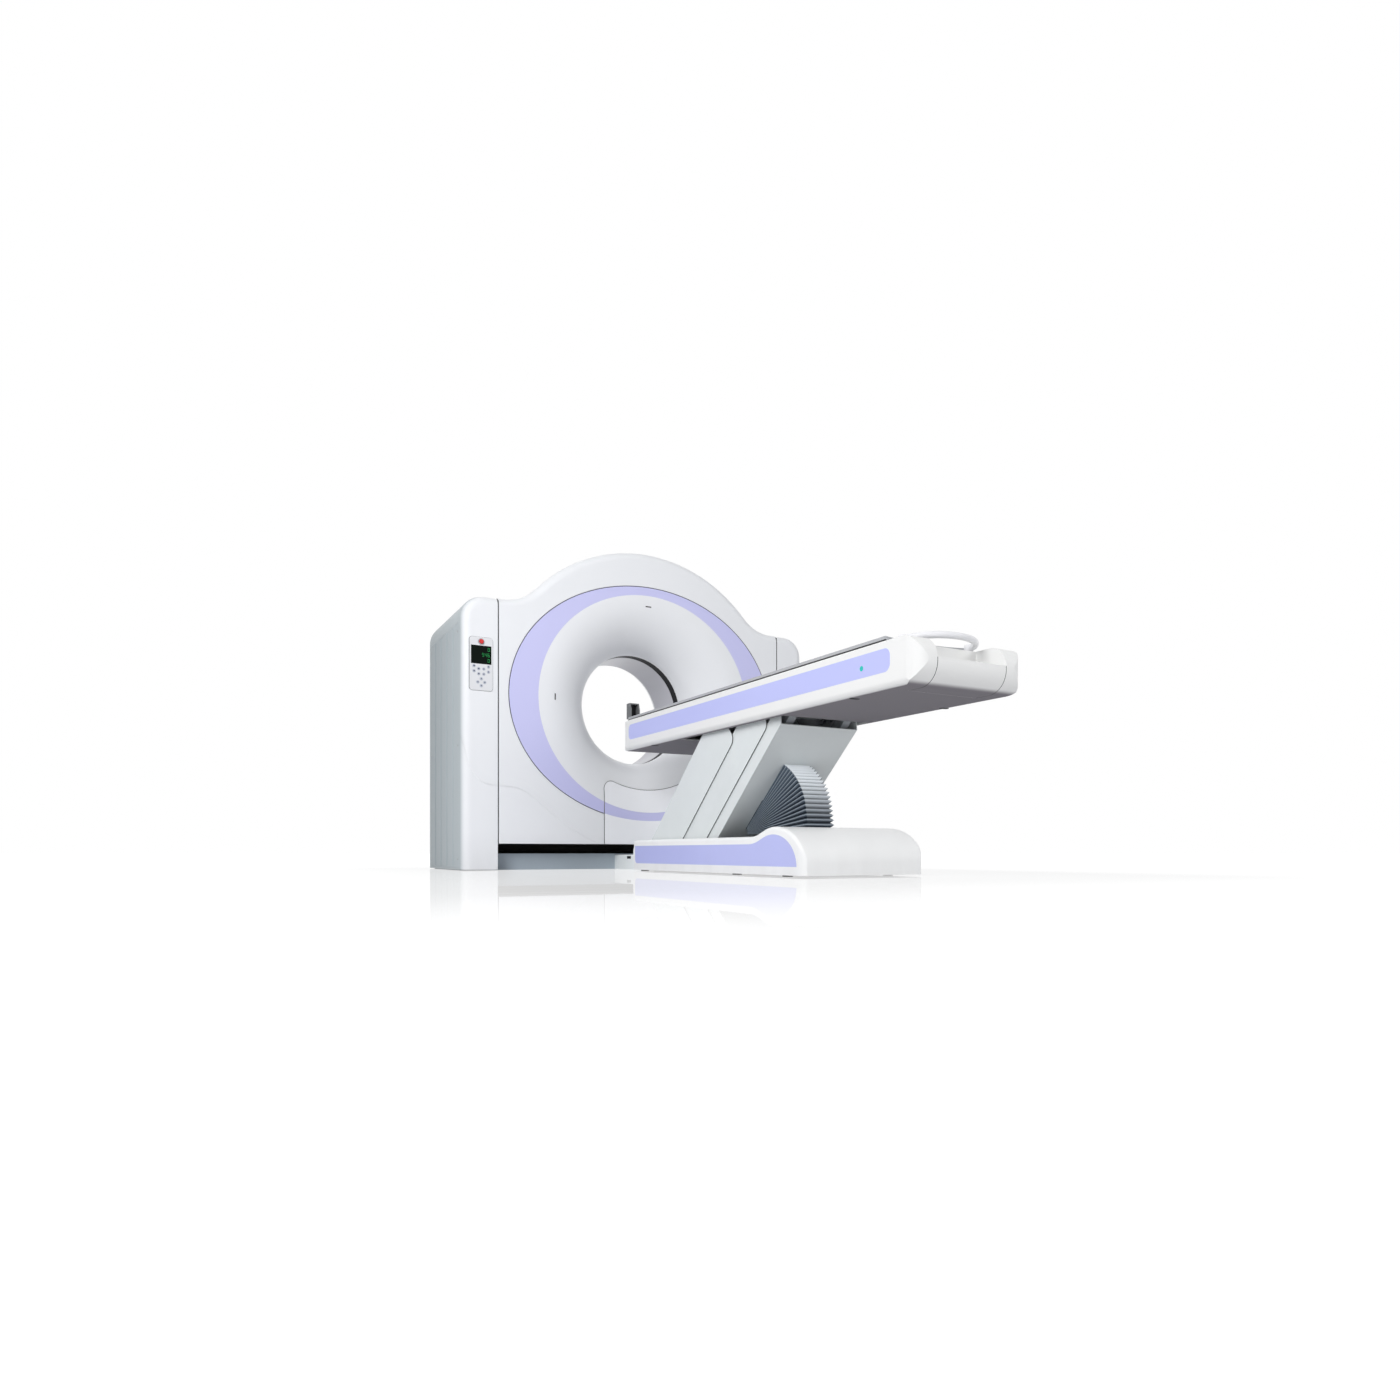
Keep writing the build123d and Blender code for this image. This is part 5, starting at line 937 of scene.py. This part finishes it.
    def ridge(self, side, start, end, cover):
        """Low ridge of the moulded step, along the same line as in the cover zones. At each point of the
        line the section climbs 1.4 mm in 9 mm and sinks back into the skin over the next 60 mm, measured
        from the cover's own surface, which a ray from the front finds."""
        line = next(n for n in bpy.data.node_groups["Cover Zones"].nodes if n.type == "CURVE_FLOAT").mapping
        line.initialize()
        x = np.linspace(start, end, 72)
        z = [STEP_TOP * line.evaluate(line.curves[0], (v - STEP_START) / STEP_SPAN) for v in x]
        path = np.stack([x, z], axis=-1)
        ahead = headings(path)
        run_out, before = 0.03, -1.0
        taper = np.clip(np.minimum(x - start, end - x) / run_out, 0.1, 1)
        section = ((-0.004, 0.0006), (0.005, -0.0014), (0.030, -0.0009), (0.062, 0.0006), (0.020, 0.0022))
        rows = []
        for shift, lift in section:
            row = []
            for spot, way, ease in zip(path, ahead, taper):
                across, up = spot[0] - way[1] * shift, spot[1] + way[0] * shift
                hit, found, _, _ = NODES[cover].ray_cast((side * across, before, up), (0, 1, 0))
                depth = found.y if hit else row[-1][1]
                row.append((side * across, depth + (lift * ease if lift < 0 else lift), up))
            rows.append(row)
        return tube(np.stack(rows, axis=1))

    def skirt(self):
        """Dark wedge on the plinth behind the covers, painted shade in the gap between them. Its upper side
        keeps
        4 mm outside the circle that the covers' lower edge swings through round the trunnions: the height at
        y is the axis's height less the root of the circle's radius squared less y squared."""
        half, front, back, foot, swing = 0.938, 0.12, 0.432, 0.0952, 0.9206
        y = np.linspace(front, back, 14)
        top = AXIS_Z - np.sqrt(swing ** 2 - y ** 2)
        section = np.concatenate([np.stack([y, top], axis=-1), [[back, foot], [front, foot]]])
        return tube([np.concatenate([np.full((len(section), 1), x), section], axis=1) for x in (-half, half)])


class SCANNER_OT_control_pad(Operator):
    """Digits on the display, legends on the keys and a collar round the stop button"""

    bl_idname = "scanner.control_pad"
    bl_label = "Control pad"

    SEGMENTS = {"0": "abcdef", "4": "bcfg", "6": "acdefg", "9": "abcdfg"}
    ARROWS = {9: 90, 10: 180, 11: 0, 12: -90}

    def execute(self, context):
        low, high = corners_of("keypad_display")
        face, edge, pitch, wide, tall = low[1] - 0.0002, 0.021, 0.016, 0.011, 0.020
        parts = []
        for words, rise in (("0", 0.80), ("946", 0.50), ("0", 0.20)):
            z = low[2] + (high[2] - low[2]) * rise
            for index, sign in enumerate(reversed(words)):
                parts += self.digit(sign, high[0] - edge - pitch * index, z, face, wide, tall)
        green = tuple(context.scene.scanner_colours.display_green)
        place("display_digits", parts, "stand", glowing("Display digits", green, 0.45))

        ink = skin("Legend ink", (0.05, 0.06, 0.10), gloss=0.5, scuff=0.0)
        for index in range(1, 13):
            node = f"key_{index:02d}"
            a, b = corners_of(node)
            turn = self.ARROWS.get(index)
            radius, corners = (0.0052, 3) if index in self.ARROWS else (0.0042, 16 if index % 2 else 4)
            shape = self.mark((a + b) / 2, a[1] - 0.0002, radius, corners, 45 if turn is None else turn)
            place(f"legend_{index:02d}", [shape], f"body_{node}", ink)

        middle = sum(corners_of("stop_button")) / 2
        centre = (middle[0], corners_of("keypad_panel")[0][1], middle[2])
        profile = [(0.0135, 0.0), (0.0138, 0.0022), (0.0150, 0.0030), (0.0178, 0.0024), (0.0186, 0.0),
                   (0.0135, 0.0)]
        collar = turned(profile, centre, (0, -1, 0), (1, 0, 0), 40)
        place("stop_collar", [collar], "stand",
              metal("Collar metal", (0.55, 0.56, 0.58), polish=0.25), smooth=True)
        return {"FINISHED"}

    def digit(self, sign, x, z, face, wide, tall):
        """Bars of a seven-segment digit whose left edge is at x and whose middle is at z."""
        bar, half, trim = 0.0017, tall / 2, 0.0003
        left, right, foot = x + bar, x + wide - bar, z - half
        spots = {
            "a": (left, z + half - bar, right - left, bar), "d": (left, foot, right - left, bar),
            "g": (left, z - bar / 2, right - left, bar), "f": (x, z, bar, half), "b": (right, z, bar, half),
            "e": (x, foot, bar, half), "c": (right, foot, bar, half),
        }
        return [block((a + trim, face - 0.0002, b + trim), (a + w - trim, face + 0.0003, b + h - trim))
                for a, b, w, h in (spots[name] for name in self.SEGMENTS[sign])]

    def mark(self, middle, face, radius, corners, turn):
        """Flat printed mark: a disc or polygon just proud of the key, with its back inside the key."""
        angle = radians(turn) + np.linspace(0, 2 * pi, corners, endpoint=False)
        across, up = middle[0] + radius * np.cos(angle), middle[2] + radius * np.sin(angle)
        return tube([np.stack([across, np.full(corners, y), up], axis=-1) for y in (face, face + 0.0004)])


class SCANNER_OT_fasteners(Operator):
    """Screw heads on the columns' side panels"""

    bl_idname = "scanner.fasteners"
    bl_label = "Fasteners"

    def execute(self, context):
        radius = context.scene.scanner_sizes.screw_radius
        low, high = corners_of("side_panels")
        outer, inset_y, inset_z = high[0] - 0.0035, 0.04, 0.05
        profile = [(0.0, 0.0016), (radius * 0.42, 0.0016), (radius * 0.46, 0.0026), (radius * 0.8, 0.0022),
                   (radius, 0.0008), (radius, -0.0004), (0.0, -0.0004)]
        heads = [turned(profile, (side * outer, y, z), (side, 0, 0), (0, 1, 0), 20) for side in SIDES
                 for z in (low[2] + inset_z, 0.5 * (low[2] + high[2]), high[2] - inset_z)
                 for y in (low[1] + inset_y, high[1] - inset_y)]
        place("panel_screws", heads, "stand",
              metal("Screw steel", (0.50, 0.52, 0.54), polish=0.28), smooth=True)
        return {"FINISHED"}


class SCANNER_OT_table_trim(Operator):
    """Stripes, handle, head rest sleeves, marker dot, the duct's socket and the slots under the table"""

    bl_idname = "scanner.table_trim"
    bl_label = "Table trim"

    def execute(self, context):
        stripe = bpy.data.materials["Stripe lilac"]
        sides = [self.plate((-2.8606, 0.751), (-0.588, 0.837), 0.030, side * (PAN_SIDE - 0.001),
                            side * (PAN_SIDE + 0.0004)) for side in SIDES]
        bands = place("stripe_bands", sides, "table", stripe)
        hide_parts("table_stripes")

        teal = skin("Marker teal", (0.0, 0.52, 0.46), coat=0.4, gloss=0.2, scuff=0.0)
        dot = self.plate((-2.711, 0.777), (-2.691, 0.797), 0.00999, -PAN_SIDE, -PAN_SIDE - 0.0012)
        place("marker_dot", [dot], "table", teal)

        # painted shade in the seams beside the foot's notch
        seam = rubber("Foot seam shade", (0.03, 0.03, 0.032))
        place("foot_seam_shades", [self.foot_seam(side * NOTCH_X) for side in SIDES], "table", seam)
        # painted shade for the slots and the sleeve pockets; the duct's socket is black of its own
        dark = skin("Slot shadow and socket black", (0.01, 0.01, 0.012), gloss=0.7, scuff=0.0)
        slots = [self.slot_plate(x, y) for x, y in ((-0.231, -2.617), (0.235, -2.608), (-0.238, -0.881))]
        place("pan_slots", slots, "table", dark)
        socket = self.plate((-0.430, 0.064), (-0.376, 0.080), 0.004, -0.1795, -0.1812)
        place("duct_socket", [socket], "stand", dark)

        tubes = [self.hoop(context.scene.scanner_sizes.hoop_radius)] + [self.post(side) for side in SIDES]
        white = bpy.data.materials["Handle white"]
        handle = place("hoop_handle", tubes, "table", white, smooth=True)
        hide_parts("foot_handle")

        shells = [part for side in SIDES for part in self.sleeve(side * SLEEVE_X)]
        sleeves = place("rest_sleeves", shells, "cradle", bpy.data.materials["Socket grey"])
        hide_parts("head_socket")
        # painted shade inside the sleeves' pockets
        pockets = [block((x - SLEEVE_HALF, -0.452, 0.9), (x + SLEEVE_HALF, -0.445, 0.978))
                   for x in (-SLEEVE_X, SLEEVE_X)]
        place("sleeve_pockets", pockets, "cradle", dark)
        return {"FINISHED"}

    def plate(self, low, high, radius, *faces):
        """Thin upright plate with round corners between two faces. low and high are its corners' y and z."""
        y, z = rounded(np.add(low, high) / 2, np.subtract(high, low) / 2, radius, 48)
        return tube([np.stack([np.full_like(y, x), y, z], axis=-1) for x in faces])

    def foot_seam(self, x, width=0.0024, lift=0.0002):
        """Fine dark line of painted shade in the seam over the round foot end beside the notch: down a
        quarter circle, then along under the pan. Each ring of four points lies across the line, its outer two
        just over the skin."""
        turn = np.linspace(-0.14, pi / 2, 30)
        held = np.maximum(turn, 0)
        y = np.append(FOOT_Y - FOOT_ROUND * np.cos(held), -2.852)
        z = np.append(PAN_Z + FOOT_ROUND - FOOT_ROUND * np.sin(turn), PAN_Z)
        out_y, out_z = np.append(-np.cos(held), 0), np.append(-np.sin(held), -1)
        rows = []
        for shift, rise in ((-0.5, -0.001), (-0.5, lift), (0.5, lift), (0.5, -0.001)):
            across = np.full_like(y, x + shift * width)
            rows.append(np.stack([across, y + out_y * rise, z + out_z * rise], axis=-1))
        return tube(np.stack(rows, axis=1))

    def slot_plate(self, x, y, half=0.022, radius=0.012, proud=0.0008):
        """Dark rounded plate of painted shade where a slot lies on the pan's underside."""
        across, along = rounded((x, y), (half, radius), radius, 24)
        ends = (PAN_Z + proud, PAN_Z - proud)
        return tube([np.stack([across, along, np.full_like(across, z)], axis=-1) for z in ends])

    def hoop(self, radius):
        """Tube along half an ellipse that leans slightly up: at turn t the centre line lies the posts'
        distance times the cosine of t across, and the reach and the rise times the sine of t out and up.
        The tube's circle lies square to the line."""
        reach, height, rise, upright = 0.113, 0.884, 0.008, (0, 0.0706, 0.9975)
        t = np.linspace(0, pi, 49)
        line = np.stack([POST_X * np.cos(t), POST_Y - reach * np.sin(t), height + rise * np.sin(t)], axis=-1)
        ahead = headings(line)
        beside = np.cross(ahead, upright)
        beside /= np.linalg.norm(beside, axis=1)[:, None]
        upward = np.cross(beside, ahead)
        turn = np.linspace(0, 2 * pi, 25)[:-1, None]
        circle = np.cos(turn) * beside[:, None] + np.sin(turn) * upward[:, None]
        return tube(line[:, None] + radius * circle)

    def post(self, side):
        """Round post under one end of the hoop, with a rounded top edge."""
        profile = [(0.0, 0.0335), (0.0125, 0.0335), (0.0158, 0.0322), (0.0170, 0.0290), (0.0170, -0.0005),
                   (0.0, -0.0005)]
        return turned(profile, (side * POST_X, POST_Y, PAN_TOP), (0, 0, 1), (1, 0, 0), 32)

    def sleeve(self, x):
        """Sleeve for the head rest, open towards the foot: two upright cheeks with a sloping front edge, and
        the back, sill and roof between them."""
        front, back, sill, roof = -0.498, -0.440, 0.893, 0.984
        cheek = np.array([(back, sill), (back, roof), (-0.484, roof), (front, 0.944), (front, sill)])
        made = [tube([np.concatenate([np.full((5, 1), x + off), cheek], axis=1) for off in pair])
                for pair in ((-0.030, -0.0232), (0.0232, 0.030))]
        for low, high in (((-0.447, 0.8935), (-0.4405, 0.9835)), ((front, sill), (back, 0.902)),
                          ((-0.484, 0.977), (back, roof))):
            made.append(block((x - SLEEVE_HALF, *low), (x + SLEEVE_HALF, *high)))
        return made


class SCANNER_PT_sidebar(Panel):
    """Buttons for the scanner's pieces"""

    bl_idname = "SCANNER_PT_sidebar"
    bl_label = "Scanner"
    bl_space_type = "VIEW_3D"
    bl_region_type = "UI"
    bl_category = "Scanner"

    def draw(self, context):
        for name in STEPS:
            self.layout.operator(f"scanner.{name}")


STEPS = ("camera", "stage", "finishes", "bellows", "seams", "control_pad", "fasteners", "table_trim")
CLASSES = (
    ScannerColours, ScannerSizes, SCANNER_OT_camera, SCANNER_OT_stage, SCANNER_OT_finishes,
    SCANNER_OT_bellows, SCANNER_OT_seams, SCANNER_OT_control_pad, SCANNER_OT_fasteners,
    SCANNER_OT_table_trim, SCANNER_PT_sidebar,
)


def register():
    for cls in CLASSES:
        bpy.utils.register_class(cls)
    bpy.types.Scene.scanner_colours = PointerProperty(type=ScannerColours)
    bpy.types.Scene.scanner_sizes = PointerProperty(type=ScannerSizes)


def unregister():
    del bpy.types.Scene.scanner_sizes
    del bpy.types.Scene.scanner_colours
    for cls in reversed(CLASSES):
        bpy.utils.unregister_class(cls)


def main():
    """Make every piece in order."""
    register()
    for name in STEPS:
        getattr(bpy.ops.scanner, name)()


if __name__ == "__main__":
    main()
